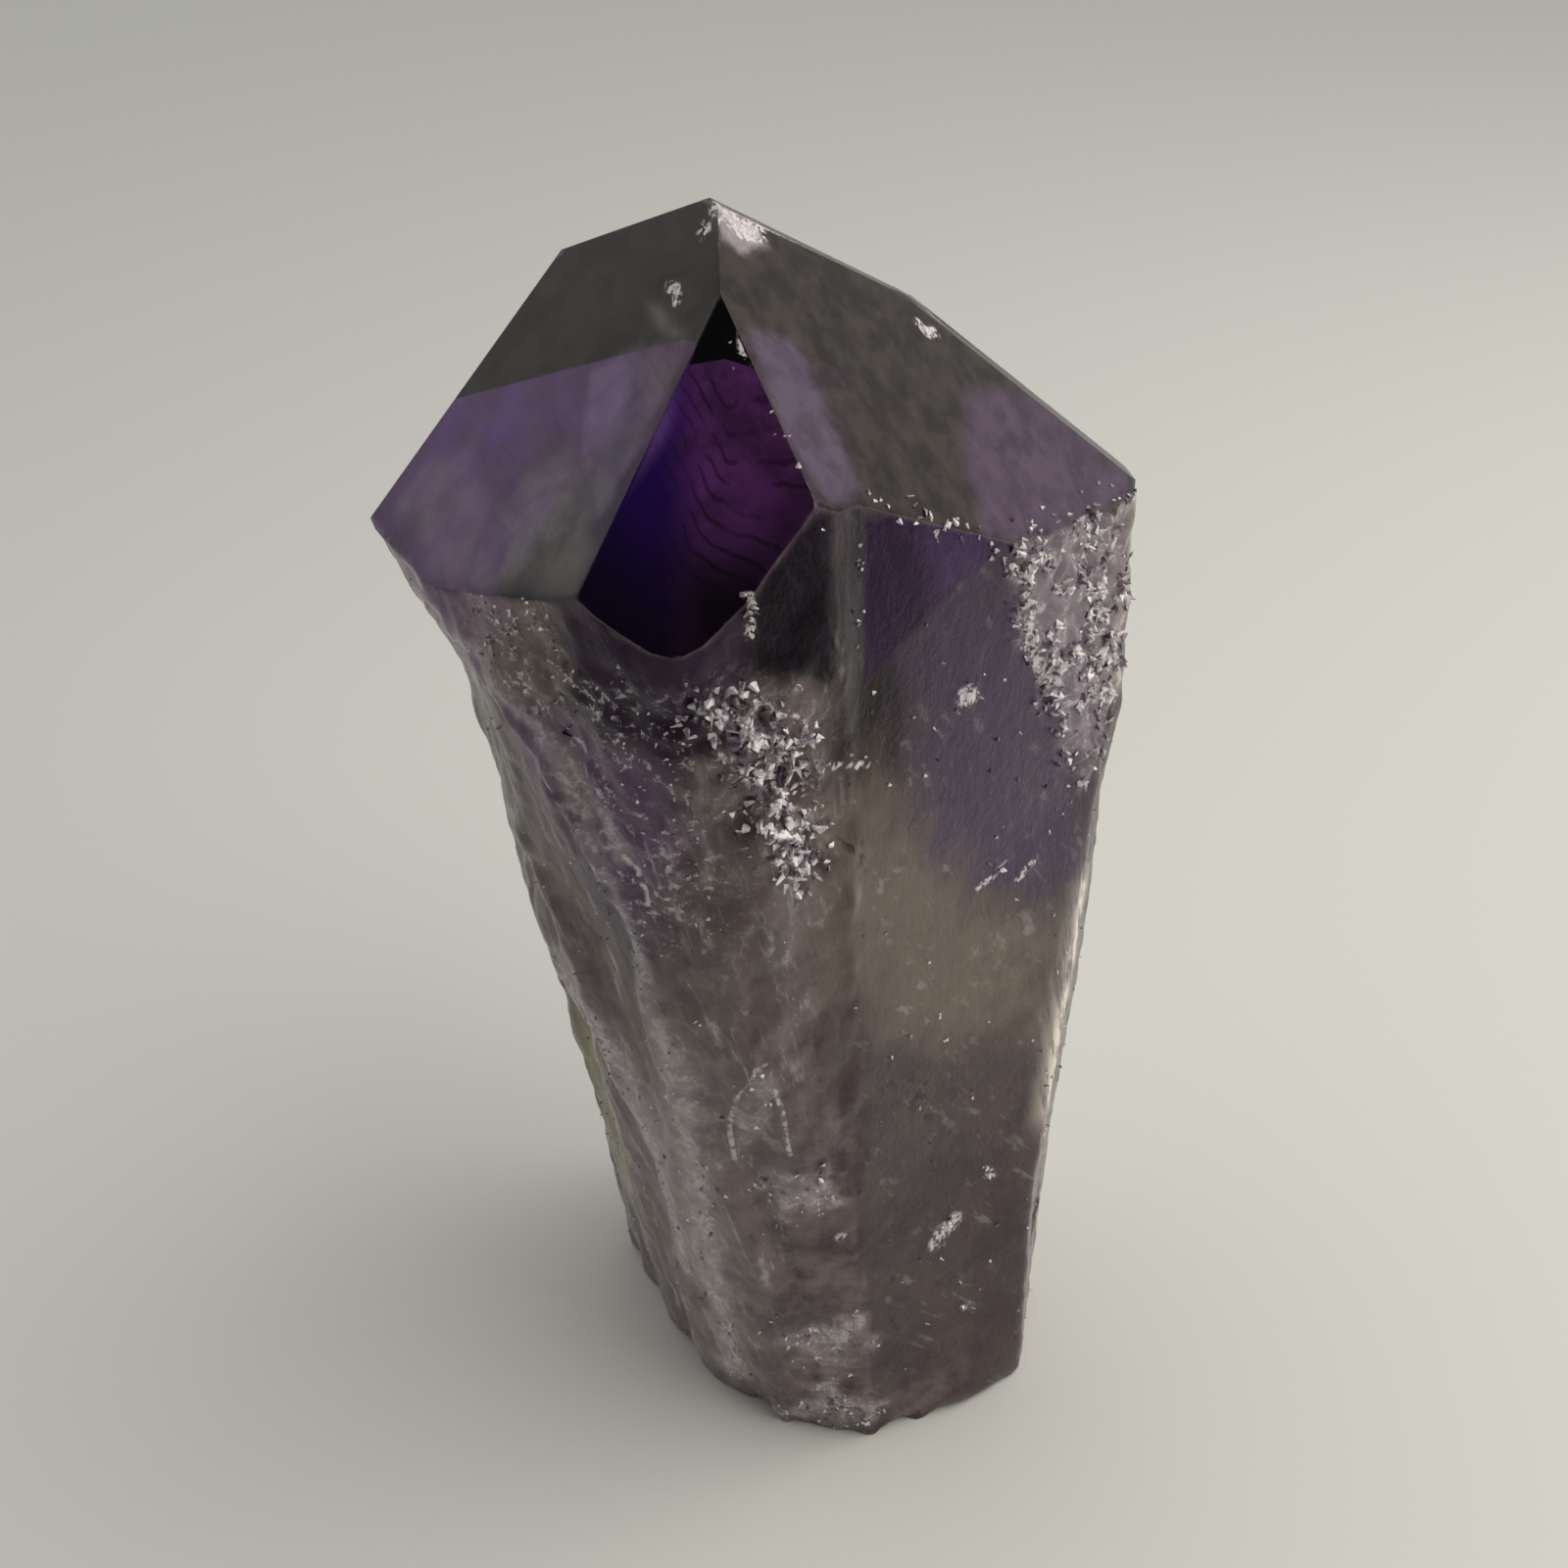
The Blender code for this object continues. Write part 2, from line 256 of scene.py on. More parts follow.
def flat_groups(bm):
    """Groups of touching triangles that share one sloping plane: the faces of the point."""
    groups, seen = [], set()
    for start in bm.faces:
        if start in seen or start.normal.z < LEAST_SLOPE:
            continue
        stack, group = [start], []
        seen.add(start)
        while stack:
            face = stack.pop()
            group.append(face)
            for other in {near for edge in face.edges for near in edge.link_faces}:
                if other not in seen and other.normal.dot(start.normal) > SAME_WAY:
                    seen.add(other)
                    stack.append(other)
        if sum(face.calc_area() for face in group) > LEAST_FLAT_AREA:
            groups.append(group)
    return groups


# %% [markdown]
# ## The skin's mesh
# The skin is a copy of the solid with a finer mesh. Each flat face becomes one polygon and is
# then filled with small triangles, so that it stays perfectly flat but can carry marks. The
# natural surface is subdivided until its points lie about 0.6 mm apart, which is enough for
# ridges, pits and small crystals that are real shape and not only shading.

# %% Skin mesh
NATURAL_CUTS = 3                     # new points along each edge of the natural surface
FLAT_GRID = 0.7
SMOOTH_PASSES = 5
TOP_PASSES = 2                       # the facets under the point keep sharper edges
TOP_FROM = 97.0


def inside_outline(points, outline):
    """Which points of a plane lie inside a closed outline, by counting the edges left of them."""
    starts, ends = outline, np.roll(outline, -1, axis=0)
    x, y = points[:, 0, None], points[:, 1, None]
    spans = (starts[:, 1] > y) != (ends[:, 1] > y)
    rise = np.where(ends[:, 1] == starts[:, 1], 1e-9, ends[:, 1] - starts[:, 1])
    crossing = starts[:, 0] + (y - starts[:, 1]) * (ends[:, 0] - starts[:, 0]) / rise
    return (spans & (crossing > x)).sum(1) % 2 == 1


def fill_flat(bm, face, mark):
    """Replace one flat polygon by small triangles that keep its outline's points."""
    normal, number, loop = face.normal.copy(), face[mark], list(face.verts)
    first = normal.cross((0, 0, 1)).normalized()
    second = normal.cross(first)
    origin = loop[0].co.copy()
    outline = np.array([((vert.co - origin).dot(first), (vert.co - origin).dot(second)) for vert in loop])
    low, high = outline.min(0), outline.max(0)
    across = (np.arange(a, b, FLAT_GRID) for a, b in zip(low, high))
    grid = np.stack(np.meshgrid(*across), axis=-1).reshape(-1, 2)
    clear = np.linalg.norm(grid[:, None] - outline[None], axis=2).min(1) > 0.5 * FLAT_GRID
    grid = grid[clear & inside_outline(grid, outline)]
    points = [Vector(p) for p in np.vstack([outline, grid])]
    places, _, triangles, sources, _, _ = delaunay_2d_cdt(points, [], [list(range(len(loop)))], 1, 1e-6)
    verts = []
    for place, source in zip(places, sources):
        on_outline = [index for index in source if index < len(loop)]
        inner = origin + first * place.x + second * place.y
        verts.append(loop[on_outline[0]] if on_outline else bm.verts.new(inner))
    bmesh.ops.delete(bm, geom=[face], context="FACES_ONLY")
    for triangle in triangles:
        bm.faces.new([verts[index] for index in triangle])[mark] = number


def fine_mesh():
    """The skin's mesh and, for each of its points, whether it lies on a flat face."""
    bm = merged_copy()
    mark = bm.faces.layers.int.new("flat_number")
    groups = flat_groups(bm)
    for number, group in enumerate(groups):
        for face in group:
            face[mark] = number + 1
        bmesh.ops.dissolve_faces(bm, faces=group, use_verts=False)
    edges = [edge for edge in bm.edges if not all(face[mark] for face in edge.link_faces)]
    bmesh.ops.subdivide_edges(bm, edges=edges, cuts=NATURAL_CUTS, use_grid_fill=True)
    for face in [face for face in bm.faces if face[mark]]:
        fill_flat(bm, face, mark)
    bmesh.ops.triangulate(bm, faces=bm.faces)
    bmesh.ops.recalc_face_normals(bm, faces=bm.faces)
    on_flat = np.array([any(face[mark] for face in vert.link_faces) for vert in bm.verts])
    return bm, on_flat


def arrays_of(bm):
    """Places, edges and normals of a mesh as arrays."""
    bm.verts.ensure_lookup_table()
    bm.verts.index_update()
    bm.normal_update()
    places = np.array([vert.co for vert in bm.verts])
    normals = np.array([vert.normal for vert in bm.verts])
    edges = np.array([[vert.index for vert in edge.verts] for edge in bm.edges])
    return places, normals, edges


def smoothed(places, edges, free, passes):
    """Move each free point half way to the middle of its neighbours, several times."""
    for _ in range(passes):
        total, count = np.zeros_like(places), np.zeros(len(places))
        for a, b in ((0, 1), (1, 0)):
            np.add.at(total, edges[:, a], places[edges[:, b]])
            np.add.at(count, edges[:, a], 1)
        middle = total / count[:, None]
        places = np.where(free[:, None], 0.5 * places + 0.5 * middle, places)
    return places


skin_bm, on_flat = fine_mesh()
places, normals, edges = arrays_of(skin_bm)
places = smoothed(places, edges, ~on_flat & (places[:, 2] < TOP_FROM), SMOOTH_PASSES - TOP_PASSES)
places = smoothed(places, edges, ~on_flat, TOP_PASSES)
print("skin points:", len(places), "triangles:", len(skin_bm.faces), "on flat faces:", int(on_flat.sum()))

# %% [markdown]
# ## Where things are on the crystal
# The marks on a natural crystal follow no rule, so each one is listed: a bruise is a line
# of a few points on the surface with a width, and a patch is a few corners with a soft border. A
# mask is then one number for every point of the mesh, near 1 on the mark and fading to 0 beside
# it. The materials and the relief read the same masks, so a bruise is both pale and raised.

# %% Mask helpers
def ramp(value, low, high):
    """0 below low, 1 above high, smooth between; low may be the larger of the two."""
    t = np.clip((value - low) / (high - low), 0, 1)
    return t * t * (3 - 2 * t)


def distance_to(points, line):
    """Distance of each point to a line through a few points."""
    line = np.array(line, float)
    best = np.linalg.norm(points - line[0], axis=1)
    for a, b in zip(line[:-1], line[1:]):
        along = b - a
        t = np.clip((points - a) @ along / (along @ along), 0, 1)
        best = np.minimum(best, np.linalg.norm(points - (a + t[:, None] * along), axis=1))
    return best


def near_line(points, line, width):
    """A soft band along a line: 1 on it and fading over its width."""
    return np.exp(-(distance_to(points, line) / width) ** 2)


def in_patch(points, corners, soft, depth=6.0):
    """A patch with a soft border, given by its corners; depth is how far off their plane it reaches."""
    corners = np.array(corners, float)
    middle = corners.mean(0)
    axes = np.linalg.svd(corners - middle)[2]
    local = (points - middle) @ axes.T
    outline = ((corners - middle) @ axes.T)[:, :2]
    border = distance_to(local[:, :2], np.vstack([outline, outline[:1]]))
    signed = np.where(inside_outline(local[:, :2], outline), border, -border)
    return ramp(signed, -soft, soft) * (np.abs(local[:, 2]) < depth)


def noise_at(points, size, seed=0.0):
    """Soft noise between about -1 and 1, with lumps of the given size; size may differ by axis."""
    scaled = points / np.array(size) + seed
    return np.array([noise.noise(Vector(p)) for p in scaled])


# %% Marks
PATCHES = {                          # softness of the border, how far it wanders, corners
    "side_facet": (1.3, 0.8, ((3.0, -21.8, 114.4), (-1.9, -25.2, 109.5), (-2.3, -25.3, 102.7),
        (4.2, -21.2, 99.0), (4.5, -20.7, 113.6))),
    "strip": (0.3, 0.0, ((4.6, -20.5, 113.6), (6.5, -18.1, 112.4), (6.4, -18.3, 96.5),
        (4.5, -21.0, 98.4))),
    "dark_facet": (0.3, 0.2, ((6.4, -18.2, 112.9), (18.9, -8.3, 104.1), (5.7, -19.1, 96.7))),
    "facet_band": (2.0, 1.5, ((11.0, -14.7, 109.3), (18.9, -8.3, 104.1), (12.5, -13.2, 100.8))),
    "violet": (3.2, 2.4, ((10.1, -15.1, 99.3), (16.3, -10.2, 104.1), (20.4, -6.1, 97.5),
        (24.9, -2.0, 90.0), (29.5, 4.1, 78.0), (29.5, 3.6, 64.0), (27.3, 0.8, 60.0),
        (18.2, -7.8, 66.6), (12.2, -13.4, 77.0))),
    "haze": (4.0, 2.5, ((2.4, -22.3, 88.2), (7.4, -17.5, 89.5), (10.8, -14.6, 81.9),
        (17.2, -8.5, 68.6), (27.1, -0.8, 55.3), (25.2, -3.9, 44.4), (13.0, -13.4, 52.3),
        (4.2, -20.9, 66.1), (1.6, -22.5, 80.2))),
    "rough": (1.6, 1.5, ((19.6, -6.6, 105.2), (25.2, 0.8, 103.5), (33.1, 9.8, 101.0),
        (33.5, 9.5, 90.0), (31.4, 6.8, 73.4), (29.1, 3.7, 70.7), (25.4, -0.5, 80.8),
        (20.7, -5.8, 93.2), (19.3, -7.8, 101.1))),
    "druse": (1.8, 1.6, ((-6.5, -27.0, 103.0), (-1.2, -25.0, 101.5), (3.2, -21.8, 97.0),
        (2.6, -21.6, 90.0), (3.2, -21.0, 81.0), (1.5, -22.5, 79.5), (-2.2, -25.0, 84.0),
        (-4.0, -25.1, 92.5), (-8.0, -26.2, 98.5))),
    "specks": (2.5, 2.0, ((-22.6, -16.7, 102.3), (-16.4, -22.2, 103.9), (-10.8, -26.7, 103.4),
        (-5.3, -27.1, 103.0), (-4.3, -24.9, 90.0), (-2.8, -24.7, 78.0), (-8.6, -24.0, 74.5),
        (-15.6, -18.0, 77.0), (-18.8, -20.1, 90.1))),
    "plum": (1.5, 1.5, ((-15.5, -24.4, 109.5), (-8.0, -27.5, 109.5), (-1.0, -25.5, 111.8),
        (-1.6, -25.3, 104.0), (-3.5, -26.0, 101.0), (-5.7, -26.6, 96.5), (-10.0, -25.5, 96.0),
        (-14.0, -24.6, 98.2), (-18.2, -21.0, 99.0), (-16.5, -23.0, 104.0))),
    "mauve_side": (3.0, 2.0, ((-23.0, -16.0, 99.0), (-18.0, -21.0, 98.0), (-9.0, -25.5, 95.0),
        (-8.0, -24.5, 86.0), (-12.0, -23.0, 76.0), (-17.0, -17.0, 74.0), (-21.0, -15.0, 88.0))),
    "shade": (1.5, 1.0, ((4.5, -20.5, 98.4), (9.9, -15.4, 100.5), (10.6, -14.6, 90.0),
        (10.6, -14.4, 84.9), (6.0, -18.5, 84.0), (3.9, -20.9, 92.0))),
    "frost": (1.2, 1.2, ((-24.7, -15.0, 105.8), (-16.4, -21.9, 109.1), (-15.9, -23.2, 105.4),
        (-14.9, -24.1, 101.7), (-19.5, -19.9, 97.4), (-22.1, -18.2, 99.2), (-24.0, -15.8, 101.9))),
    "left_plum": (1.6, 2.0, ((-18.3, -20.3, 90.5), (-16.0, -21.5, 85.5), (-12.0, -22.5, 80.5),
        (-11.5, -22.0, 73.5), (-13.5, -20.5, 66.5), (-16.0, -16.8, 68.5), (-17.5, -16.7, 80.3))),
    "tongue": (0.4, 0.3, ((-18.0, -20.6, 96.5), (-15.8, -21.9, 95.0), (-14.8, -22.0, 86.5),
        (-16.7, -21.2, 86.4), (-18.2, -20.5, 91.3))),
    "pale_flank": (1.5, 1.5, ((-17.7, -13.0, 55.2), (-16.2, -13.6, 50.6), (-12.1, -19.8, 50.5),
        (-10.6, -18.0, 41.3), (-11.9, -16.8, 27.8), (-15.5, -7.9, 24.6), (-17.9, -7.0, 35.4))),
    "blob": (1.8, 2.4, ((-3.4, -19.6, 43.4), (1.7, -20.9, 45.3), (3.1, -20.3, 39.7),
        (-0.3, -20.6, 37.4), (-3.1, -19.8, 38.0))),
    "scar": (0.7, 0.8, ((-3.0, -23.4, 60.5), (-5.0, -22.7, 56.7), (-6.2, -20.9, 51.0),
        (-6.0, -20.2, 45.9), (-3.6, -21.5, 50.5), (-1.8, -22.8, 57.0))),
    "low_blob": (2.0, 2.6, ((-0.3, -19.6, 20.2), (4.8, -19.6, 20.6), (5.8, -19.6, 14.0),
        (2.1, -19.1, 11.0), (-0.9, -19.3, 14.9))),
    "foot": (2.0, 2.6, ((-3.9, -17.5, 1.6), (2.6, -19.1, 9.3), (7.9, -19.0, 5.2), (4.7, -19.4, 0.6))),
    "hatch": (1.0, 0.6, ((7.4, -18.1, 56.3), (13.0, -13.5, 47.4), (13.6, -13.4, 41.9),
        (8.5, -17.3, 50.3))),
    "short_hatch": (0.5, 0.3, ((3.8, -19.9, 85.0), (6.9, -18.0, 81.8), (6.2, -18.7, 78.2))),
    # painted glow: a pale olive tint on the thin left edge for the light that comes through it
    "olive_edge_glow": (2.0, 0.8, ((-23.0, 3.0, 45.7), (-19.8, -4.0, 42.7), (-18.5, -4.8, 25.0),
        (-20.2, 4.9, 12.0))),
}
FACE_VEILS = {                       # pale veils that lie on the two satin faces
    "grey_veil": (2.4, 1.4, ((-12.4, -19.6, 114.5), (-14.3, -23.9, 109.4), (-20.8, -17.9, 107.5),
        (-20.6, -12.7, 110.4), (-15.7, -12.6, 114.5))),
    "dusk_corner": (1.6, 1.2, ((-30.0, -2.0, 106.0), (-28.7, -1.0, 109.6), (-24.0, -6.1, 111.4),
        (-21.0, -14.0, 109.2), (-21.2, -18.1, 106.9), (-25.5, -14.8, 104.6))),
    "mauve_veil": (0.35, 0.1, ((-13.4, -8.3, 119.5), (-9.5, -10.3, 122.0), (-5.6, -13.5, 123.9),
        (-7.6, -16.3, 120.6), (-10.0, -18.6, 117.0), (-12.6, -21.0, 113.4), (-14.0, -15.0, 115.2))),
    "pink_veil": (0.7, 0.7, ((-8.8, -6.6, 124.7), (-6.5, -11.3, 124.2), (-5.8, -13.2, 123.8),
        (-7.3, -12.1, 123.0), (-8.4, -9.4, 123.5))),
    "apex_veil": (0.5, 0.6, ((-3.0, -5.2, 130.9), (-0.4, -3.6, 128.9), (0.2, -4.4, 127.6),
        (-1.6, -7.2, 127.9), (-3.0, -7.4, 129.2))),
    "lilac_veil": (0.5, 0.15, ((-1.4, -12.9, 124.2), (2.1, -9.8, 122.1), (6.5, -17.0, 113.1),
        (4.0, -20.8, 113.8), (0.6, -18.2, 118.9))),
    "dusk_right": (1.5, 1.2, ((16.1, 1.6, 112.5), (22.0, 8.0, 110.0), (27.7, 11.7, 105.1),
        (33.3, 10.9, 98.4), (22.9, -4.8, 101.6), (16.2, -11.0, 105.0), (15.5, -5.1, 109.6))),
}
BRUISES = {                          # points of a line on the surface, width
    "crescent": (((22.1, -4.6, 95.5), (21.6, -4.9, 91.7), (23.4, -2.9, 87.4), (25.6, -0.7, 84.8)), 0.6),
    "streaks": (((1.2, -23.2, 97.6), (2.0, -22.6, 95.4)), 0.35),
    "dots": (((3.9, -20.6, 91.1), (6.7, -18.2, 89.3)), 0.25),
    "fleck_high": (((15.2, -10.4, 90.6), (16.4, -9.3, 89.6)), 0.8),
    "nick_left": (((17.6, -7.8, 67.4), (21.5, -4.4, 68.4)), 0.35),
    "nick_right": (((22.1, -3.6, 65.3), (25.2, -1.2, 66.4)), 0.45),
    "fleck_low": (((13.6, -14.6, 26.0), (14.5, -14.2, 27.2), (15.8, -13.4, 27.9)), 0.95),
    "fleck_right": (((19.4, -10.4, 32.1), (20.1, -9.9, 30.7)), 0.45),
    "dot_low": (((17.3, -13.7, 14.2),), 0.6),
    "dot_middle": (((3.8, -20.1, 34.0),), 0.6),
    "apex": (((-3.0, -5.2, 130.4), (-1.6, -5.2, 128.9), (-0.4, -4.0, 128.2)), 1.0),
    "apex_left": (((-4.4, -6.3, 129.3),), 0.8),
    "left_face_mark": (((-7.2, -7.8, 125.6), (-6.6, -8.6, 125.7), (-6.4, -9.6, 125.1)), 0.45),
    "edge_crystal": (((-1.9, -25.1, 109.4), (-2.0, -25.4, 106.2)), 0.35),
    "edge_chip": (((-2.1, -13.9, 124.3), (-1.6, -14.9, 123.2)), 0.22),
    "bevel_chip": (((12.4, 3.4, 118.0), (13.1, 3.4, 117.1), (14.0, 4.6, 116.6)), 0.5),
}
# painted shade: a grey band under the strip, down the front edge, that dims the edge where the softbox
# lights it
FRONT_EDGE_SHADE_LINE = ((5.3, -19.9, 97.0), (4.8, -20.7, 80.0), (4.5, -20.9, 55.0))
HAIRLINES = (                        # cracks that shine as one thin line
    ((-13.1, -22.9, 84.8), (-12.1, -23.5, 83.5), (-11.6, -23.2, 80.7), (-11.0, -23.3, 78.7)),
    ((-15.2, -19.6, 76.5), (-13.2, -22.0, 79.0), (-11.8, -22.9, 79.8)),
    ((-2.6, -23.2, 61.2), (-3.5, -23.4, 60.7), (-5.4, -22.7, 56.7), (-6.4, -20.9, 51.0),
     (-6.1, -20.2, 45.7)),
    ((-2.0, -22.8, 57.8), (-1.3, -22.5, 53.8), (-0.9, -21.9, 47.9)),
)
RIDGE_GLOW_BELOW = 62.0              # further down the ridges stand in a wide pale haze
WANDER_SIZE, WANDER_SEEDS = 3.2, (2.2, 8.4, 5.1)       # lumps that bend the borders, a seed for each axis
FRONT_SIDE = (0.69, -0.72)           # X and Y of the normal of the column's side right of the front edge
VIOLET_CLOUD = 15.0                  # size of the violet clouds on the hidden sides
AWAY_RIGHT = np.array((0.80, 0.60, 0.0))     # the right and back sides, which the camera doesn't see
RIDGES = (
    ((-28.7, -7.0, 98.8), (-23.3, -16.5, 100.2), (-18.4, -20.3, 94.7), (-14.6, -22.1, 88.5),
     (-13.1, -22.9, 84.8)),
    ((-19.3, -19.7, 95.5), (-15.9, -21.6, 86.2), (-13.5, -22.3, 77.4), (-12.9, -21.6, 70.3),
     (-10.7, -21.3, 59.3), (-10.4, -18.8, 45.0), (-10.0, -17.5, 27.5), (-8.1, -14.4, 5.1)),
    ((-22.2, -6.8, 57.4), (-18.6, -12.3, 55.9), (-16.2, -13.6, 50.6), (-14.3, -13.0, 38.8),
     (-12.5, -13.2, 22.3)),
)
# the pale right rim is a painted highlight: warm white drawn along these lines for the light that comes
# through the thin edge
RIM_LIGHT_LINE = ((29.9, 3.6, 58.0), (29.4, 2.0, 53.4), (28.6, -0.1, 48.6), (27.7, -2.0, 42.3), (26.7, -4.2, 35.0))
HIGH_RIM_LIGHT_LINE = ((33.4, 9.9, 99.5), (33.2, 9.4, 90.0), (32.0, 7.6, 79.0))
TORN_EDGE = ((6.5, -18.1, 112.5), (11.1, -14.4, 109.3), (16.2, -10.5, 105.5), (19.9, -6.7, 103.7),
             (26.2, 1.9, 101.3), (32.1, 9.8, 99.0))
EDGE_SPARKS = ((16.3, -9.6, 105.2), (18.4, -8.6, 102.6), (20.1, -6.7, 98.6), (21.4, -5.1, 93.9),
               (22.9, -3.1, 87.6))
STRIP_EDGE = ((6.3, -18.3, 112.0), (6.2, -18.5, 104.0), (5.2, -20.0, 98.0))
FRONT_EDGE = ((-3.2, -12.4, 126.6), (-1.6, -15.8, 122.1), (0.6, -18.2, 118.9), (3.0, -21.6, 114.4))


def patch_mask(points, wander, patch):
    soft, reach, corners = patch
    return in_patch(points + reach * wander, corners, soft)


def surface_masks(points, normals, flat):
    """Every mask that the skin's relief and material use."""
    x, y, z = points.T
    natural = (~flat).astype(float)
    wander = np.stack([noise_at(points, WANDER_SIZE, seed) for seed in WANDER_SEEDS], axis=1)
    masks = {name: patch_mask(points, wander, patch) * natural for name, patch in PATCHES.items()}
    masks.update({name: patch_mask(points, wander, patch) * flat for name, patch in FACE_VEILS.items()})
    bruise = np.zeros(len(points))
    for line, width in BRUISES.values():
        bruise = np.maximum(bruise, near_line(points + 0.25 * wander, line, width))
    ridge = np.zeros(len(points))
    for line in RIDGES:
        glow = 0.6 * near_line(points, line, width=2.8) * (z < RIDGE_GLOW_BELOW)
        ridge = np.maximum(ridge, near_line(points + 0.6 * wander, line, width=1.1) + glow)
    facets = np.maximum(masks["side_facet"], masks["dark_facet"])
    facing = FRONT_SIDE[0] * normals[:, 0] + FRONT_SIDE[1] * normals[:, 1]
    prism = ramp(facing, 0.86, 0.96) * ramp(x, 4.0, 6.5) * natural
    for name in ("side_facet", "dark_facet"):
        masks[name] *= 1 - masks["strip"]
    masks["calm"] = np.clip(facets + masks["strip"] + 0.85 * prism, 0, 1)
    masks["prism"] = prism
    masks["hatch"] = np.maximum(masks["hatch"], masks.pop("short_hatch"))
    masks["blob"] = np.maximum.reduce([masks["blob"], 0.7 * masks.pop("scar"), masks.pop("low_blob"),
                                       masks.pop("foot")])
    away = np.maximum(ramp(normals @ AWAY_RIGHT, 0.30, 0.60), ramp(normals[:, 1], 0.20, 0.50))
    masks["flank"] = np.maximum(ramp(x + 0.10 * (100 - z), 9.0, 2.0) * (1 - prism), 0.8 * away) * natural
    violet_clouds = ramp(noise_at(points, VIOLET_CLOUD, seed=3.3), -0.15, 0.30)
    masks["hidden_violet"] = away * violet_clouds * ramp(z, 25.0, 85.0) * natural
    masks["bruise"] = bruise
    masks["ridge"] = np.clip(ridge, 0, 1) * natural
    # painted shade down the front edge
    masks["painted_front_shade"] = near_line(points, FRONT_EDGE_SHADE_LINE, width=2.0) * natural
    near_cracks = [near_line(points, line, width=1.5) for line in HAIRLINES]
    masks["hairline"] = np.maximum.reduce(near_cracks) * natural
    masks["plum"] = np.maximum(masks["plum"], masks.pop("left_plum"))
    # painted highlight along the right rim
    low_rim_light = near_line(points + 0.5 * wander, RIM_LIGHT_LINE, width=2.3)
    masks["painted_rim_light"] = np.maximum(low_rim_light, 0.75 * near_line(points, HIGH_RIM_LIGHT_LINE, width=1.3)) * natural
    return masks


masks = surface_masks(places, normals, on_flat)
print({name: round(float(mask.mean()), 3) for name, mask in masks.items()})

# %% [markdown]
# ## Relief of the natural surface
# Growth left fine ridges that drift sideways as they run down, and etching left lumps and pits.
# On the rough patches many small crystals grew side by side. Each one is a cell with a random
# tilt, so the surface breaks into little flat facets. The relief stays under a
# millimetre and inside the solid's box, so the skin keeps the solid's size.

# %% Relief
RIDGE_SPACING = 1.9
RIDGE_LENGTH = 17.0
RIDGE_DRIFT = 0.34                   # sideways drift of the ridges for each millimetre down
DRIFT_RIGHT, DRIFT_NEAR = 0.7, 0.5   # shares of that drift along +X and -Y
FINE_SHARE = 2.2                     # the finer ridges stand this many times closer
RIDGE_HEIGHT = 0.24
LUMP_SIZE, LUMP_HEIGHT = 1.5, 0.13
PIT_SIZE, PIT_DEPTH = (2.0, 2.0, 3.0), 0.40
BRUISE_HEIGHT, PALE_RIDGE_HEIGHT, TONGUE_DEPTH = 0.22, 0.25, 0.5
CRYSTAL_SPACING = 1.5
CRYSTAL_TILT, CRYSTAL_RISE = 0.6, 0.5
PATCH_FROM, PATCH_FULL = 0.15, 0.6   # mask values where the crystals start and are at their full height
POINT_AREA = 0.36                    # square millimetres of skin for each of its points
PART_SIZE = 4000                     # points that are worked out at a time, to save memory
CRUSTS = {"druse": 0.6, "rough": 0.5, "specks": 0.25, "blob": 0.30}     # patch, height of its crystals
PATCH_SEED = 11


def tilted_cells(points, weight, spacing, seed):
    """Height of a patch of small tilted facets, one for each cell round a random centre."""
    random = np.random.default_rng(seed)
    inside = np.where(weight > PATCH_FROM)[0]
    count = max(1, int(len(inside) * POINT_AREA / spacing ** 2 / 2))
    centres = points[random.choice(inside, count, replace=False)]
    tilts = random.normal(0, CRYSTAL_TILT, (len(centres), 3))
    rises = random.uniform(-CRYSTAL_RISE, CRYSTAL_RISE, len(centres))
    height = np.zeros(len(points))
    for start in range(0, len(inside), PART_SIZE):
        part = inside[start:start + PART_SIZE]
        apart = points[part][:, None] - centres[None]
        nearest = np.argmin((apart ** 2).sum(2), axis=1)
        rows = np.arange(len(part))
        height[part] = rises[nearest] + (apart[rows, nearest] * tilts[nearest]).sum(1)
    return np.clip(height, -1, 1) * ramp(weight, PATCH_FROM, PATCH_FULL)


def relief(points, masks):
    """How far each point moves along its normal."""
    drifted = points.copy()
    drifted[:, 0] += RIDGE_DRIFT * points[:, 2] * DRIFT_RIGHT
    drifted[:, 1] -= RIDGE_DRIFT * points[:, 2] * DRIFT_NEAR
    finer = RIDGE_SPACING / FINE_SHARE
    streak = noise_at(drifted, (RIDGE_SPACING, RIDGE_SPACING, RIDGE_LENGTH))
    fine = noise_at(drifted, (finer, finer, RIDGE_LENGTH / 2), seed=7.3)
    lumps = noise_at(points, LUMP_SIZE, seed=3.1)
    pits = np.maximum(0, noise_at(points, PIT_SIZE, seed=5.7) - 0.15)
    rough = 1 - masks["calm"]
    out = rough * RIDGE_HEIGHT * (0.6 * streak + 0.45 * fine) + rough * LUMP_HEIGHT * lumps
    out -= rough * PIT_DEPTH * pits
    for index, (name, height) in enumerate(CRUSTS.items()):
        out += height * tilted_cells(points, masks[name], CRYSTAL_SPACING, PATCH_SEED + index)
    out += (BRUISE_HEIGHT * masks["bruise"] * (0.5 + lumps)
            + PALE_RIDGE_HEIGHT * masks["ridge"] * (0.4 + lumps))
    out -= TONGUE_DEPTH * masks["tongue"]
    return out * masks["natural"]


masks["natural"] = (~on_flat).astype(float)
moved = relief(places, masks)
low, high = (np.array(corner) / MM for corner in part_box(NODE))
skin_places = np.clip(places + normals * moved[:, None], low, high)
print("relief, mm: from", round(float(moved.min()), 2), "to", round(float(moved.max()), 2))

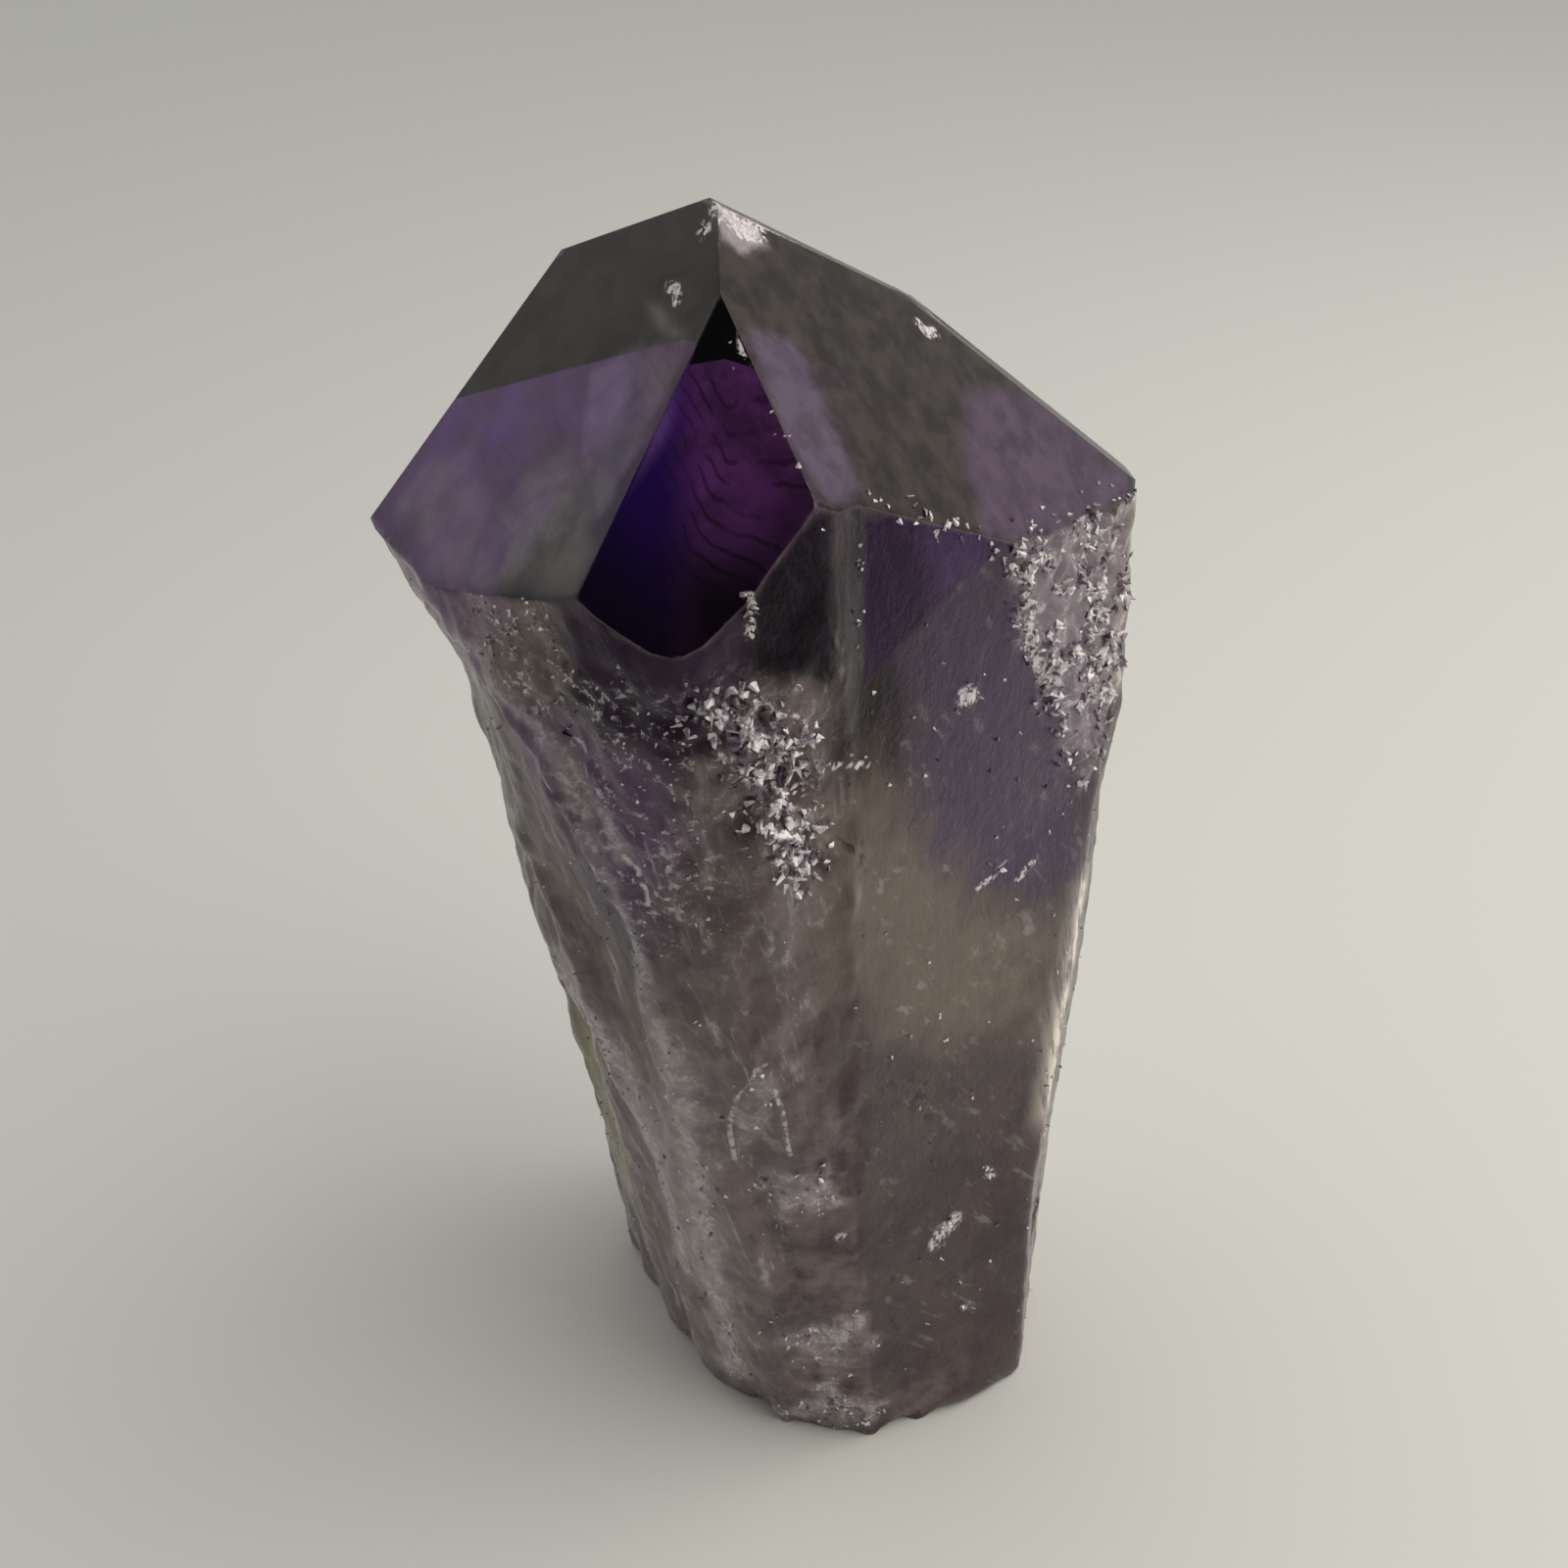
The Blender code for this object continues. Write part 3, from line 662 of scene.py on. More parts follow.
# %% [markdown]
# ## The skin's material
# The skin is quartz: IOR 1.544, glossy on the face that looks at the viewer, satin on the two big
# faces beside it and rougher on the etched column. It is see-through on the point and milky lower
# down, where bubbles and healed cracks scatter light. Plain absorption inside gives the slight
# smoky tint. Each zone has its own tint, and white bruises are crushed quartz that scatters light.

# %% Skin material
QUARTZ_IOR = 1.544
ZONE_TINTS = (                       # mask, sRGB colour, how much of it shows
    # front line: painted shade down the front edge
    ("flank", "#A89A9A", 0.5), ("prism", "#3E3036", 0.7), ("painted_front_shade", "#4C4046", 0.7),
    # olive edge: painted glow of the light that comes through the thin left edge
    ("shade", "#32252E", 0.9), ("olive_edge_glow", "#A8A488", 0.9), ("mauve_side", "#8A5E9C", 0.8),
    ("plum", "#341A4A", 0.85), ("violet", "#563A6A", 0.9), ("hidden_violet", "#5C4276", 0.7),
    ("haze", "#8E8070", 0.6), ("frost", "#AC9C8A", 0.75), ("pale_flank", "#C0B4B8", 0.65),
    ("tongue", "#8E8490", 0.7), ("ridge", "#D0C4C8", 0.75), ("rough", "#C6B8C6", 0.75),
    ("side_facet", "#120218", 1.4), ("dark_facet", "#3A184C", 1.4), ("facet_band", "#745090", 0.8),
    ("strip", "#241E2C", 0.9), ("blob", "#CCBEC4", 0.62),
)
VEIL_TINTS = (
    ("mauve_veil", "#8A6A8E", 1.0), ("lilac_veil", "#7E6E84", 1.0), ("dusk_corner", "#82667A", 1.0),
    ("grey_veil", "#4C4046", 0.9), ("dusk_right", "#7A6280", 0.9), ("pink_veil", "#A898A4", 1.0),
    ("apex_veil", "#D8CCD2", 1.0))
FACE_FINISH = (                      # a face's normal, how satin it is, how dull
    ((-0.62, -0.38, 0.68), 0.55, 0.90), ((0.7, -0.35, 0.62), 1.0, 0.9),
    ((0.68, 0.04, 0.73), 0.0, 1.0), ((0.53, 0.13, 0.83), 0.0, 1.0))
BODY_DARK, BODY_LIGHT, BODY_PALE, BODY_DEEP = "#6C5A60", "#94827F", "#B0A0A2", "#3A2C34"
FACE_DARK, FACE_LIGHT, CLEAR_FACE = "#5A524E", "#69615C", "#E4E2DC"
# the second of these colours is the warm white of the painted highlight on the right rim
CRUSHED_WHITE, PAINTED_RIM_LIGHT, STRIA, HATCHING = "#E6DFE2", "#FFF6EA", "#4E3062", "#2A1E26"
MIRROR, DULL_MIRROR = "#FFFFFF", "#140E14"                 # tint of the reflection, polished and etched
SMOKE, SMOKE_DENSITY = "#B9B3A8", 12.0                     # light that is left, and how fast it goes, 1/m
BUMP_DEPTH = 0.0004                                        # metres
STREAK_STRETCH = 0.12                # what is left of heights, so that lumps become streaks
WAYS = {                             # squeeze and turn that make lines of a noise's lumps
    "scratched": ((1.0, 1.0, 0.08), (0.0, 0.75, 0.75)), "slanting": ((1.0, 1.0, 0.06), (0.0, 0.55, 0.0)),
    "dashed": ((1.0, 1.0, 0.35), (0.0, 0.8, 0.0))}
SKIN_NOISES = {                      # its way, the size of its lumps in mm, detail, roughness
    "streaks": ("growth", 1.3, 6.0, 0.68), "clouds": ("round", 9.0, 5.0, 0.62),
    "mottle": ("round", 2.6, 5.0, 0.65), "grain": ("round", 0.8, 4.0, 0.7),
    "splinters": ("round", 0.5, 3.0, 0.6), "scratches": ("scratched", 1.3, 4.0, 0.6),
    "striae": ("slanting", 0.9, 3.0, 0.6), "short": ("dashed", 1.1, 3.0, 0.6)}
CUTS = {                             # values that give nothing and all, and the two shares if not 0 and 1
    "spots": (0.50, 0.62), "spot_groups": (0.42, 0.58, 0.0, 0.85), "pale_streaks": (0.50, 0.70),
    "streak_groups": (0.36, 0.60, 0.10, 0.90), "scratches": (0.56, 0.68),
    "scratch_groups": (0.40, 0.60, 0.0, 0.22), "bruise": (0.15, 0.6),
    "bruise_heart": (0.60, 0.90, 0.0, 0.8), "splinters": (0.44, 0.54), "hairline": (0.925, 0.985),
    "hairline_gaps": (0.42, 0.56, 0.15, 1.0), "fluff": (0.42, 0.58, 0.0, 0.8),
    "fluff_groups": (0.40, 0.57), "clouds": (0.36, 0.64), "pale_mottle": (0.46, 0.66, 0.0, 0.45),
    "deep_mottle": (0.46, 0.32, 0.0, 0.60), "uneven_tint": (0.34, 0.60, 0.74, 1.0),
    "striae": (0.50, 0.66, 0.0, 0.35), "rim_light_gaps": (0.36, 0.56, 0.35, 1.0),
    "hatching": (0.53, 0.60, 0.0, 0.85), "face_mottle": (0.38, 0.62),
    "milk_by_height": (0.105, 0.020, 0.42, 0.62), "uneven_veil": (0.30, 0.66, 0.7, 1.25),
    "any_satin": (0.0, 0.1)}
SPOTTED = {"druse": 1.0, "rough": 1.0, "specks": 1.0, "blob": 0.8, "ridge": 0.9, "frost": 0.8}
EXTRA_MILK = {"haze": 0.18, "ridge": 0.18, "blob": 0.18, "olive_edge_glow": 0.18}
VEILED = {"mauve_veil": 0.14, "lilac_veil": 0.14, "grey_veil": 0.14, "pink_veil": 0.14, "dusk_corner": 0.14,
          "dusk_right": 0.14}
MILK = {"rough": 0.6, "hatching": 0.9, "satin": 0.30, "grey": 0.10, "apex": 0.25, "white": 0.94}
GLOSS = {"polished": 0.02, "natural": 0.20, "satin": 0.13, "white": 0.15}    # roughness, and what each adds
BUMP = {"streaks": 0.6, "grain": 0.5, "natural": 0.40, "satin": 0.008}
DULLED = {"natural": 0.78, "side_facet": 1.0, "dark_facet": 1.0, "dull": 1.0, "plum": 1.0, "strip": 1.0,
          "shade": 1.0, "painted_front_shade": 1.0}


def along_growth(tree, stretch):
    """Object coordinates that follow the drift of the ridges, squeezed along the crystal's height."""
    place = add(tree, "ShaderNodeTexCoord").outputs["Object"]
    parts = add(tree, "ShaderNodeSeparateXYZ", {0: place})
    x = maths(tree, "MULTIPLY_ADD", parts.outputs["Z"], RIDGE_DRIFT * DRIFT_RIGHT, parts.outputs["X"])
    y = maths(tree, "MULTIPLY_ADD", parts.outputs["Z"], -RIDGE_DRIFT * DRIFT_NEAR, parts.outputs["Y"])
    z = maths(tree, "MULTIPLY", parts.outputs["Z"], stretch)
    return add(tree, "ShaderNodeCombineXYZ", {"X": x, "Y": y, "Z": z}).outputs[0], place


def squeezed(tree, place, shares, turn=(0.0, 0.0, 0.0)):
    """Object coordinates turned and then squeezed, for streaks that run along one direction."""
    turned = add(tree, "ShaderNodeMapping", {"Vector": place, "Rotation": turn})
    return add(tree, "ShaderNodeMapping", {"Vector": turned.outputs[0], "Scale": shares}).outputs[0]


def noise_node(tree, vector, size_mm, detail=3.0, roughness=0.55):
    """Noise whose lumps are about the given size in millimetres."""
    sockets = {"Vector": vector, "Scale": 1000.0 / size_mm, "Detail": detail, "Roughness": roughness}
    return add(tree, "ShaderNodeTexNoise", sockets).outputs["Fac"]


def tinted(tree, colour, tints, uneven=1.0):
    """Lay the zones' tints over a colour, one after the other, each a little uneven."""
    for name, tint, share in tints:
        shown = times(tree, named_mask(tree, name), share, uneven)
        colour = mix_colour(tree, shown, colour, linear(tint))
    return colour


def largest(tree, *values):
    result = values[0]
    for value in values[1:]:
        result = maths(tree, "MAXIMUM", result, value)
    return result


def times(tree, *values):
    result = values[0]
    for value in values[1:]:
        result = maths(tree, "MULTIPLY", result, value)
    return result


def weighted(tree, table):
    """The largest of a table's masks, each times its own share."""
    return largest(tree, *(times(tree, named_mask(tree, name), share) for name, share in table.items()))


def cut(tree, value, name):
    """A noise or mask turned into a share by the values that CUTS gives it."""
    return ranged(tree, value, *CUTS[name])


def rest_of(tree, *values):
    """What is left of one where none of the values holds."""
    return maths(tree, "SUBTRACT", 1.0, largest(tree, *values), clamp=True)


def skin_noises(tree, streaky, place):
    """The noises that break up the masks, one for each row of SKIN_NOISES."""
    ways = {"growth": streaky, "round": place}
    ways.update({name: squeezed(tree, place, *turned) for name, turned in WAYS.items()})
    return {name: noise_node(tree, ways[way], *numbers) for name, (way, *numbers) in SKIN_NOISES.items()}


def white_share(tree, pattern, dark):
    """Where the quartz is white: crushed spots, pale streaks, faint scratches, bruises and fluff."""
    names = ("flank", "prism", "plum", "bruise", "hairline", "blob", "ridge")
    flank, prism, plum, bruise, hairline, blob, ridge = (named_mask(tree, name) for name in names)
    spots = times(tree, cut(tree, pattern["grain"], "spots"), cut(tree, pattern["mottle"], "spot_groups"),
                  weighted(tree, SPOTTED))
    lines = times(tree, cut(tree, pattern["streaks"], "pale_streaks"), flank,
                  cut(tree, pattern["clouds"], "streak_groups"), rest_of(tree, dark, plum))
    faint = times(tree, cut(tree, pattern["scratches"], "scratches"), prism,
                  cut(tree, pattern["clouds"], "scratch_groups"), rest_of(tree, dark))
    torn = times(tree, cut(tree, bruise, "bruise"), cut(tree, pattern["splinters"], "splinters"))
    heart = cut(tree, bruise, "bruise_heart")
    thin = times(tree, cut(tree, hairline, "hairline"), cut(tree, pattern["grain"], "hairline_gaps"))
    fluff = times(tree, largest(tree, blob, ridge), cut(tree, pattern["mottle"], "fluff_groups"),
                  cut(tree, pattern["grain"], "fluff"))
    brightest = largest(tree, spots, lines, faint, torn, heart, thin, fluff)
    return add(tree, "ShaderNodeClamp", {0: brightest}).outputs[0]


def body_colour(tree, pattern, dark, shown_rim_light, dashes):
    """The etched column: clouds and mottle, the zones' tints, the facets' striae, the painted rim highlight
    and dashes.
    """
    uneven = cut(tree, pattern["mottle"], "uneven_tint")
    body = mix_colour(tree, cut(tree, pattern["clouds"], "clouds"), linear(BODY_DARK), linear(BODY_LIGHT))
    body = mix_colour(tree, cut(tree, pattern["mottle"], "pale_mottle"), body, linear(BODY_PALE))
    body = mix_colour(tree, cut(tree, pattern["mottle"], "deep_mottle"), body, linear(BODY_DEEP))
    body = tinted(tree, body, ZONE_TINTS, uneven)
    striae = times(tree, dark, cut(tree, pattern["striae"], "striae"))
    body = mix_colour(tree, striae, body, linear(STRIA))
    # painted highlight on the right rim
    body = mix_colour(tree, shown_rim_light, body, linear(PAINTED_RIM_LIGHT))
    return mix_colour(tree, dashes, body, linear(HATCHING))


def milk_share(tree, pattern, satin, natural, height, white, shown_rim_light, dashes):
    """How much of the light is scattered and doesn't pass: milky column, painted rim highlight, veiled
    faces, white marks.
    """
    rough, grey, apex = (named_mask(tree, name) for name in ("rough", "grey_veil", "apex_veil"))
    milk = maths(tree, "ADD", cut(tree, height, "milk_by_height"), weighted(tree, EXTRA_MILK))
    milk = largest(tree, milk, shown_rim_light, times(tree, rough, MILK["rough"]), times(tree, dashes, MILK["hatching"]))
    veil = maths(tree, "ADD", weighted(tree, VEILED), times(tree, satin, satin, MILK["satin"]))
    veil = maths(tree, "MULTIPLY_ADD", grey, MILK["grey"], veil)
    veil = maths(tree, "MULTIPLY_ADD", apex, MILK["apex"], veil)
    veil = times(tree, veil, cut(tree, pattern["mottle"], "uneven_veil"), cut(tree, satin, "any_satin"))
    return largest(tree, times(tree, milk, natural), veil, times(tree, white, MILK["white"]))


def skin_material():
    """Quartz that is clear on the point and milky lower down."""
    material, tree, out = new_material("clear_to_milky_quartz")
    streaky, place = along_growth(tree, STREAK_STRETCH)
    height = add(tree, "ShaderNodeSeparateXYZ", {0: place}).outputs["Z"]
    pattern = skin_noises(tree, streaky, place)
    natural, satin, painted_rim_light, hatch, side_facet, dark_facet = (
        named_mask(tree, name) for name in ("natural", "satin", "painted_rim_light", "hatch", "side_facet", "dark_facet"))
    dark = largest(tree, side_facet, dark_facet)
    white = white_share(tree, pattern, dark)
    # painted highlight along the right rim, broken by gaps; it also makes the skin milky there
    shown_rim_light = times(tree, painted_rim_light, cut(tree, pattern["streaks"], "rim_light_gaps"))
    dashes = times(tree, hatch, cut(tree, pattern["short"], "hatching"))
    mottled = cut(tree, pattern["mottle"], "face_mottle")
    face = mix_colour(tree, mottled, linear(FACE_DARK), linear(FACE_LIGHT))
    face = mix_colour(tree, satin, linear(CLEAR_FACE), tinted(tree, face, VEIL_TINTS))
    colour = mix_colour(tree, natural, face, body_colour(tree, pattern, dark, shown_rim_light, dashes))
    colour = mix_colour(tree, white, colour, linear(CRUSHED_WHITE))
    milk = milk_share(tree, pattern, satin, natural, height, white, shown_rim_light, dashes)
    gloss = GLOSS["polished"]
    for share, added in ((natural, GLOSS["natural"]), (satin, GLOSS["satin"]), (white, GLOSS["white"])):
        gloss = maths(tree, "MULTIPLY_ADD", share, added, gloss)
    # etched quartz mirrors less than a polished face, and least of all on the dark facets; the painted shade
    # down the front edge loses its gloss too
    dull = times(tree, weighted(tree, DULLED), rest_of(tree, white, shown_rim_light))
    fine = maths(tree, "MULTIPLY_ADD", pattern["streaks"], BUMP["streaks"],
                 times(tree, pattern["grain"], BUMP["grain"]))
    bumpy = maths(tree, "MULTIPLY_ADD", natural, BUMP["natural"], times(tree, satin, BUMP["satin"]))
    bump = add(tree, "ShaderNodeBump", {"Strength": bumpy, "Distance": BUMP_DEPTH, "Height": fine})
    shader = add(tree, "ShaderNodeBsdfPrincipled", {
        "Base Color": colour, "Roughness": gloss, "IOR": QUARTZ_IOR, "Normal": bump.outputs[0],
        "Transmission Weight": maths(tree, "SUBTRACT", 1.0, milk, clamp=True),
        "Specular Tint": mix_colour(tree, dull, linear(MIRROR), linear(DULL_MIRROR))})
    smoke = add(tree, "ShaderNodeVolumeAbsorption", {"Color": linear(SMOKE), "Density": SMOKE_DENSITY})
    tree.links.new(shader.outputs[0], out.inputs["Surface"])
    tree.links.new(smoke.outputs[0], out.inputs["Volume"])
    return material


def finished_object(name, bm, sharp_angle=30.0):
    """A mesh object in metres, smooth except at sharp edges, riding on the crystal's one body."""
    bmesh.ops.scale(bm, vec=(MM,) * 3, verts=bm.verts)
    mesh = bpy.data.meshes.new(name)
    bm.to_mesh(mesh)
    bm.free()
    mesh.shade_smooth()
    mesh.set_sharp_from_angle(angle=math.radians(sharp_angle))
    return as_piece(name, mesh)


def as_piece(name, mesh):
    piece = bpy.data.objects.new(name, mesh)
    bpy.context.scene.collection.objects.link(piece)
    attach(piece, "root")
    return piece


def store_masks(mesh, masks, domain="POINT"):
    for name, mask in masks.items():
        layer = mesh.attributes.new(name, "FLOAT", domain)
        layer.data.foreach_set("value", np.asarray(mask, np.float32))


def face_masks(mesh):
    """Masks that change sharply from face to face: the etched column and the two satin faces."""
    numbers = np.zeros(len(mesh.polygons), np.int32)
    mesh.attributes["flat_number"].data.foreach_get("value", numbers)
    normals = np.zeros(len(mesh.polygons) * 3)
    mesh.polygons.foreach_get("normal", normals)
    normals = normals.reshape(-1, 3)
    finish = np.zeros((2, len(numbers)))
    for normal, satin, dull in FACE_FINISH:
        finish[:, (normals @ np.array(normal) > 0.99) & (numbers > 0)] = [[satin], [dull]]
    return {"natural": numbers == 0, "satin": finish[0], "dull": finish[1]}


for vert, place in zip(skin_bm.verts, skin_places):
    vert.co = place
skin = finished_object("quartz_skin", skin_bm)
masks.pop("natural")
store_masks(skin.data, masks)
store_masks(skin.data, face_masks(skin.data), "FACE")
skin.data.materials.append(skin_material())
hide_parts(NODE)
print("skin triangles:", len(skin.data.polygons))

# %% [markdown]
# ## Small crystals and sparks
# The rough patches are crusted with tiny crystals and splinters. They repeat by the hundred, so
# Geometry Nodes scatter them: points are strewn over the skin as thickly as a mask says, and a
# four-sided shard of random size, shape and tilt stands on each. Real shards have flat faces that
# catch the light one by one, which a painted spot can't do.

# %% Fleck masks
CLUMP_SIZE, FINE_CLUMP = 2.2, 1.0
SMALL_SHARD = 0.3                    # share of the largest one, where no mask says more
SHARD_GREY, SHARD_WHITE = "#8A7A8C", "#FBF8F9"
DRUSE_HEART = ((-3.5, -25.8, 100.5), (-0.6, -24.0, 94.0), (-0.9, -23.9, 89.0), (0.6, -23.0, 82.5))


def fleck_masks(points, normals, masks):
    """How thickly the shards stand at each point, 0 to 1, and how large they are, 0 to 1."""
    clumps = ramp(noise_at(points, CLUMP_SIZE, seed=4.4), -0.10, 0.30)
    fine = ramp(noise_at(points, FINE_CLUMP, seed=9.2), -0.05, 0.35)
    edge = np.maximum(near_line(points, TORN_EDGE, width=0.9), near_line(points, EDGE_SPARKS, width=0.8))
    chips = near_line(points, FRONT_EDGE, width=0.35)
    heart = near_line(points, DRUSE_HEART, width=2.9)
    layers = (                       # mask, thickness, size
        (masks["druse"] * clumps * (1 - heart), 0.9, 0.55),
        (masks["druse"] * heart, 1.0, 0.9),
        (masks["rough"] * clumps, 1.0, 0.85),
        (masks["specks"] * fine, 0.45, 0.30),
        (masks["blob"] * clumps, 0.9, 0.50),
        (masks["frost"] * fine, 0.7, 0.40),
        (edge * fine, 1.0, 0.55),
        (chips * clumps, 0.5, 0.35),
        (masks["ridge"] * fine, 0.35, 0.40),
        (masks["bruise"] * (normals[:, 2] < 0.4), 0.6, 0.55),
        (masks["flank"] * fine, 0.05, 0.35),
        (masks["prism"] * (1 - masks["dark_facet"]), 0.012, 0.40),
        (near_line(points, STRIP_EDGE, 0.35) * fine, 0.5, 0.30),
    )
    thick = np.zeros(len(points))
    size = np.full(len(points), SMALL_SHARD)
    for mask, thickness, large in layers:
        size = np.where(mask * thickness > thick, large, size)
        thick = np.maximum(thick, mask * thickness)
    return {"fleck": thick, "fleck_size": size}


flecks = fleck_masks(skin_places, normals, masks)
store_masks(skin.data, flecks)
print("thickness of the flecks, mean:", round(float(flecks["fleck"].mean()), 3))

# %% Scatter tree
FLECK_INPUTS = {"Surface": "NodeSocketGeometry", "Shards per Square Metre": "NodeSocketFloat",
                "Largest Shard": "NodeSocketFloat", "Tilt": "NodeSocketFloat", "Seed": "NodeSocketInt",
                "Finish": "NodeSocketMaterial"}
SHARDS_PER_MM2 = 2.6
LARGEST_SHARD = 1.25                 # height of the largest shard
SHARD_TILT = 1.2                     # radians
THINNEST_SHAPE, FULLEST_SHAPE = (0.25, 0.35, 0.35), (0.9, 1.0, 1.0)      # shares of its size
SHARD_SEED = 5


def scatter_tree():
    """A tree that strews shards over a surface by its masks 'fleck' and 'fleck_size'."""
    tree = bpy.data.node_groups.new("strewn_shards", "GeometryNodeTree")
    for name, kind in FLECK_INPUTS.items():
        tree.interface.new_socket(name=name, in_out="INPUT", socket_type=kind)
    tree.interface.new_socket(name="Shards", in_out="OUTPUT", socket_type="NodeSocketGeometry")
    given = add(tree, "NodeGroupInput").outputs
    thick, size = (add(tree, "GeometryNodeInputNamedAttribute", {"Name": name},
                       data_type="FLOAT").outputs["Attribute"] for name in ("fleck", "fleck_size"))
    density = maths(tree, "MULTIPLY", thick, given["Shards per Square Metre"])
    strewn = add(tree, "GeometryNodeDistributePointsOnFaces",
                 {"Mesh": given["Surface"], "Density": density, "Seed": given["Seed"]},
                 distribute_method="RANDOM")
    shard = add(tree, "GeometryNodeMeshCone",
                {"Vertices": 4, "Radius Top": 0.12, "Radius Bottom": 0.5, "Depth": 1.0})
    low_tilt = maths(tree, "MULTIPLY", given["Tilt"], -1.0)
    turns = add(tree, "ShaderNodeCombineXYZ", {"X": given["Tilt"], "Y": given["Tilt"], "Z": math.pi})
    back = add(tree, "ShaderNodeCombineXYZ", {"X": low_tilt, "Y": low_tilt, "Z": -math.pi})
    turn = add(tree, "FunctionNodeRandomValue",
               {0: back.outputs[0], 1: turns.outputs[0], "Seed": given["Seed"]},
               data_type="FLOAT_VECTOR").outputs[0]
    rotation = add(tree, "FunctionNodeRotateRotation",
                   {"Rotation": strewn.outputs["Rotation"],
                    "Rotate By": add(tree, "FunctionNodeEulerToRotation", {0: turn}).outputs[0]},
                   rotation_space="LOCAL").outputs[0]
    shape = add(tree, "FunctionNodeRandomValue",
                {0: THINNEST_SHAPE, 1: FULLEST_SHAPE, "Seed": given["Seed"]},
                data_type="FLOAT_VECTOR").outputs[0]
    length = maths(tree, "MULTIPLY", size, given["Largest Shard"])
    scale = add(tree, "ShaderNodeVectorMath", {0: shape, "Scale": length}, operation="SCALE").outputs[0]
    placed = add(tree, "GeometryNodeInstanceOnPoints",
                 {"Points": strewn.outputs["Points"], "Instance": shard.outputs["Mesh"],
                  "Rotation": rotation, "Scale": scale})
    real = add(tree, "GeometryNodeRealizeInstances", {"Geometry": placed.outputs[0]})
    dressed = add(tree, "GeometryNodeSetMaterial",
                  {"Geometry": real.outputs[0], "Material": given["Finish"]})
    add(tree, "NodeGroupOutput", {"Shards": dressed.outputs[0]})
    return tree


def modelled(name, source, tree, values):
    """Run a node tree on a copy of a mesh and keep the result as a plain mesh."""
    holder = bpy.data.objects.new(name, source.copy())
    bpy.context.scene.collection.objects.link(holder)
    modifier = holder.modifiers.new(name, "NODES")
    modifier.node_group = tree
    for item in tree.interface.items_tree:
        if item.in_out == "INPUT" and item.name in values:
            modifier[item.identifier] = values[item.name]
    graph = bpy.context.evaluated_depsgraph_get()
    graph.update()
    mesh = bpy.data.meshes.new_from_object(holder.evaluated_get(graph))
    holder.modifiers.remove(modifier)
    bpy.data.objects.remove(holder)
    mesh.name = name
    finishes = [finish for finish in mesh.materials if finish]       # the tree leaves an empty slot first
    mesh.materials.clear()
    mesh.materials.append(finishes[0])
    mesh.polygons.foreach_set("material_index", np.zeros(len(mesh.polygons), np.int32))
    return mesh


# %% Shard material
def shard_material():
    """Splintered quartz: white where it is crushed, glossy on each small facet."""
    material, tree, out = new_material("splintered_quartz")
    place = add(tree, "ShaderNodeTexCoord").outputs["Object"]
    mottle = noise_node(tree, place, 1.6, 3.0, 0.6)
    colour = mix_colour(tree, ranged(tree, mottle, 0.40, 0.58), linear(SHARD_GREY), linear(SHARD_WHITE))
    shader = add(tree, "ShaderNodeBsdfPrincipled", {
        "Base Color": colour, "Roughness": 0.22, "IOR": QUARTZ_IOR,
        "Transmission Weight": ranged(tree, mottle, 0.58, 0.36, 0.05, 0.45)})
    tree.links.new(shader.outputs[0], out.inputs["Surface"])
    return material


shard_mesh = modelled("shards", skin.data, scatter_tree(), {
    "Shards per Square Metre": SHARDS_PER_MM2 / MM ** 2, "Largest Shard": LARGEST_SHARD * MM,
    "Tilt": SHARD_TILT, "Seed": SHARD_SEED, "Finish": shard_material()})
shard_low, shard_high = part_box(NODE)
for vert in shard_mesh.vertices:
    vert.co = [min(max(value, least), most) for value, least, most in zip(vert.co, shard_low, shard_high)]
shard_mesh.shade_flat()
as_piece("strewn_shards", shard_mesh)
print("shards:", len(shard_mesh.polygons), "faces, finishes:", [m.name for m in shard_mesh.materials])

# %% [markdown]
# ## The core with its phantom
# Inside the clear skin lies the older crystal. Its faces are parallel to the outer ones, because
# the lattice is the same, and its point sits lower by as much as the crystal grew. The core is a
# narrower copy of the column, cut by the outer faces moved down. The two side faces at the back
# grew least, so there the phantom reaches almost to the skin. Behind it a second, darker zone
# reaches higher: smoky quartz, which is why the tip looks dark through the clear faces.

# %% Core
PHANTOM_DROP = 14.3                  # how much lower the phantom's point lies
SLOW_FACES = (                       # normal of a face that grew less, and its drop
    ((0.1, 0.66, 0.74), 13.6), ((-0.76, 0.19, 0.62), 1.5), ((0.5, 0.5, 0.71), 3.0),
    ((0.68, 0.04, 0.73), 5.0), ((0.53, 0.13, 0.83), 6.0))
CORE_WIDTH = ((0, 0.90), (70, 0.92), (92, 0.975), (131, 0.975))    # height and share of the full width
CORE_LIFT = 1.5                      # height of the core's foot over the crystal's
BACK_DROP = 3.0                      # how much lower than the crystal's the smoky zone's faces lie
SAME_FACE = 0.985                    # cosine between a face's normal and its row in SLOW_FACES
LEVEL_TOP, LEVEL_HALF = 96.0, 4.0    # the column's middle is that of a slice this thick, up to this height
SMOKY_FRONTS = (((-2.6, -4.2, 115.7), (-0.68, -0.55, 0.48)),     # the smoky zone starts just behind the
                ((-3.9, -4.0, 115.5), (0.64, -0.68, 0.37)))      # phantom's ridges: point and normal


